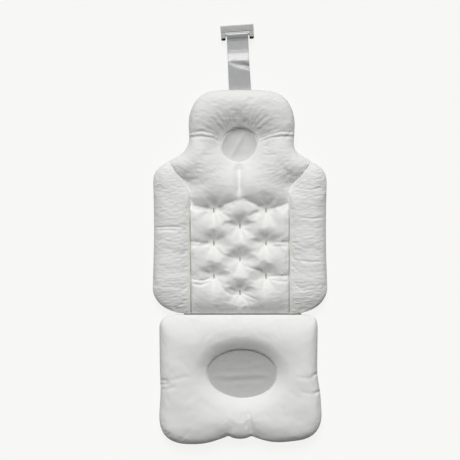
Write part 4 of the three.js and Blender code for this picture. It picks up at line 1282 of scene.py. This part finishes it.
def strap_course():
    """Places along the strap and heights there, from inside the head's edge."""
    reach = np.hypot(*(strap_end - strap_root))
    rise = [(-0.16, 18), (0, 18.4), (0.12, 19.4), (0.28, 20.4), (0.42, 20.9), (0.5, 20.8),
            (0.57, 18.8), (0.64, 16.7), (0.72, 16.0), (0.8, 16.0), (0.88, 16.1), (0.92, 16.7),
            (0.955, 18.9)]
    course = [(share * reach, level) for share, level in rise]
    for angle in np.linspace(np.pi * 0.55, -np.pi * 0.55, 12):
        course.append((reach + loop_radius * math.cos(angle),
                       bar_level + loop_radius * math.sin(angle)))
    course += [(reach - back, 14.3) for back in (4, 8, 12, 17)]
    return np.array(course), reach


def strap():
    course, reach = strap_course()
    fine = at_share(course, np.linspace(0, 1, strap_steps))
    for _ in range(6):
        fine[1:-1] = (fine[:-2] + 2 * fine[1:-1] + fine[2:]) / 4
    forward = (strap_end - strap_root) / reach
    across = np.array([forward[1], -forward[0]])
    plan_places = strap_root + fine[:, :1] * forward
    path = np.concatenate([plan_places, fine[:, 1:]], 1)
    bm = band(path, (*across, 0), web_half_width, web_half_height, strap_flatness, 40)
    for vert in bm.verts:
        place = np.array([vert.co.x, vert.co.y]) - strap_root
        along, off = place @ forward / reach, place @ across / web_half_width
        dent = bump(along * reach - dent_place + dent_slant * off, dent_run)
        vert.co.z -= dent_depth * dent * min(1, max(0, 0.6 + 0.6 * off))
        vert.co.x += root_flare * max(0, 1 - 2 * max(0, along)) * (1 + off)
        vert.co.y += math.tan(root_turn) * off * web_half_width * min(1, max(0, along))
    to_metres(bm, uneven=False)
    piece = add_piece("strap_band", bm, webbing, None, ("strap_webbing", "strap_anchor"))
    rows = [strap_root + ahead * forward for ahead in root_bend]
    ends = [Vector((x, y - fold_line, seam_level)) * mm for x, y in rows]
    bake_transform(piece, "back_rest", "strap", *ends)


strap()

# %% [markdown]
# The tail is held by a row of stitches through both layers. Each stitch is a short thread
# that dives into the webbing at both ends.

# %% Strap stitching
stitch_count = 9
stitch_radius = 0.42


def stitching():
    low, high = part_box("strap_stitch")
    y = (low.y + high.y) / 2 / mm + fold_line
    xs = np.linspace(low.x, high.x, stitch_count + 1) / mm
    bm = bmesh.new()
    for a, b in zip(xs[:-1], xs[1:]):
        for level, bulge in ((16.7, 0.5), (13.6, -0.5)):
            ts = np.linspace(0.08, 0.92, 9)
            path = [(a + (b - a) * t, y + (a + (b - a) * t) * 0.07 + 0.4,
                     level + bulge * math.sin(math.pi * t)) for t in ts]
            join(bm, band(path, (0, 1, 0), stitch_radius, stitch_radius, 1, 8, swollen))
    to_metres(bm, uneven=False)
    add_piece("strap_stitching", bm, strap_thread, "strap", ("strap_stitch",))


stitching()

# %% [markdown]
# The hook is one moulding of grey plastic: two arms, a ribbed plate between them, a back wall
# that sits on the tub's rim, and two legs below. A moulder's tool leaves every edge a little
# round, so it is built from blocks with rounded edges that run into each other. No two blocks
# share a face, since faces in one plane would flicker. The webbing's bar crosses between the
# arms, and each leg wears a black shoe.

# %% Hook
hook_middle = np.array([-4.558, 498.83])
hook_turn = math.radians(4)
hook_half = 29.5
arm_width = 8.4
hook_near = -5.6
hook_far = 16.8
hook_top = 20.4
plate_near = 4.6
wall = 3.0
leg_low = 1.3
leg_width = 5.8
edge_round = 1.1
rib_count = 5
rib_width = 0.8
rib_height = 0.35
bar_radius = 2.1
shoe_more = 1.0
shoe_round = 1.9


def block(bm, low, high, rounding, segments=3):
    """A block with rounded edges, in the hook's own place."""
    low, high = Vector(low), Vector(high)
    made = bmesh.ops.create_cube(bm, size=1)["verts"]
    size = high - low
    bmesh.ops.scale(bm, verts=made, vec=size)
    bmesh.ops.translate(bm, verts=made, vec=(low + high) / 2)
    edges = list({e for v in made for e in v.link_edges})
    bmesh.ops.bevel(bm, geom=edges, offset=rounding, segments=segments, profile=half, affect="EDGES")


def hook_piece(name, bm, material, replaced):
    c, s = math.cos(hook_turn), math.sin(hook_turn)
    for vert in bm.verts:
        x, y = vert.co.x, vert.co.y
        vert.co.x = hook_middle[0] + c * x - s * y
        vert.co.y = hook_middle[1] + s * x + c * y
    bmesh.ops.recalc_face_normals(bm, faces=bm.faces)
    to_metres(bm, uneven=False)
    add_piece(name, bm, material, "hook", (replaced,))


def hook_body():
    bm = bmesh.new()
    inner = hook_half - arm_width
    block(bm, (-hook_half, plate_near, hook_top - wall), (hook_half, hook_far, hook_top), edge_round)
    block(bm, (-hook_half + 0.2, hook_far - wall, 0.1),
          (hook_half - 0.2, hook_far - 0.25, hook_top - 0.7), edge_round)
    for side in (-1, 1):
        x = sorted((side * inner, side * (hook_half - 0.35)))
        block(bm, (x[0], hook_near, 13.9), (x[1], hook_far - 1.6, hook_top - 0.25), edge_round)
        middle = side * (hook_half - arm_width / 2)
        block(bm, (middle - leg_width / 2, hook_near, leg_low),
              (middle + leg_width / 2, hook_far - 1.3, leg_low + wall), edge_round)
    for k in range(rib_count):
        y = plate_near + 1.6 + k * (hook_far - plate_near - 3.6) / (rib_count - 1)
        block(bm, (-hook_half + 2.4, y - rib_width / 2, hook_top - 1),
              (hook_half - 2.4, y + rib_width / 2, hook_top + rib_height), 0.25, 2)
    hook_piece("hook_body", bm, hook_plastic, "hook_frame")


def hook_bar():
    bm = bmesh.new()
    length = 2 * (hook_half - arm_width + 1.5)
    bmesh.ops.create_cone(bm, cap_ends=True, segments=32, radius1=bar_radius, radius2=bar_radius,
                          depth=length, matrix=Matrix.Rotation(math.pi / 2, 4, "Y"))
    bmesh.ops.translate(bm, verts=bm.verts, vec=(0, 0, bar_level))
    hook_piece("hook_pin", bm, hook_plastic, "hook_bar")


def hook_shoe(side, word):
    bm = bmesh.new()
    middle = side * (hook_half - arm_width / 2)
    wide = leg_width / 2 + shoe_more
    block(bm, (middle - wide, hook_near - 2.0, 0.3), (middle + wide, hook_near + 3.4, 5.4),
          shoe_round, 5)
    hook_piece(f"hook_shoe_{word}", bm, tip_rubber, f"hook_tip_{word}")


hook_body()
hook_bar()
hook_shoe(-1, "left")
hook_shoe(1, "right")
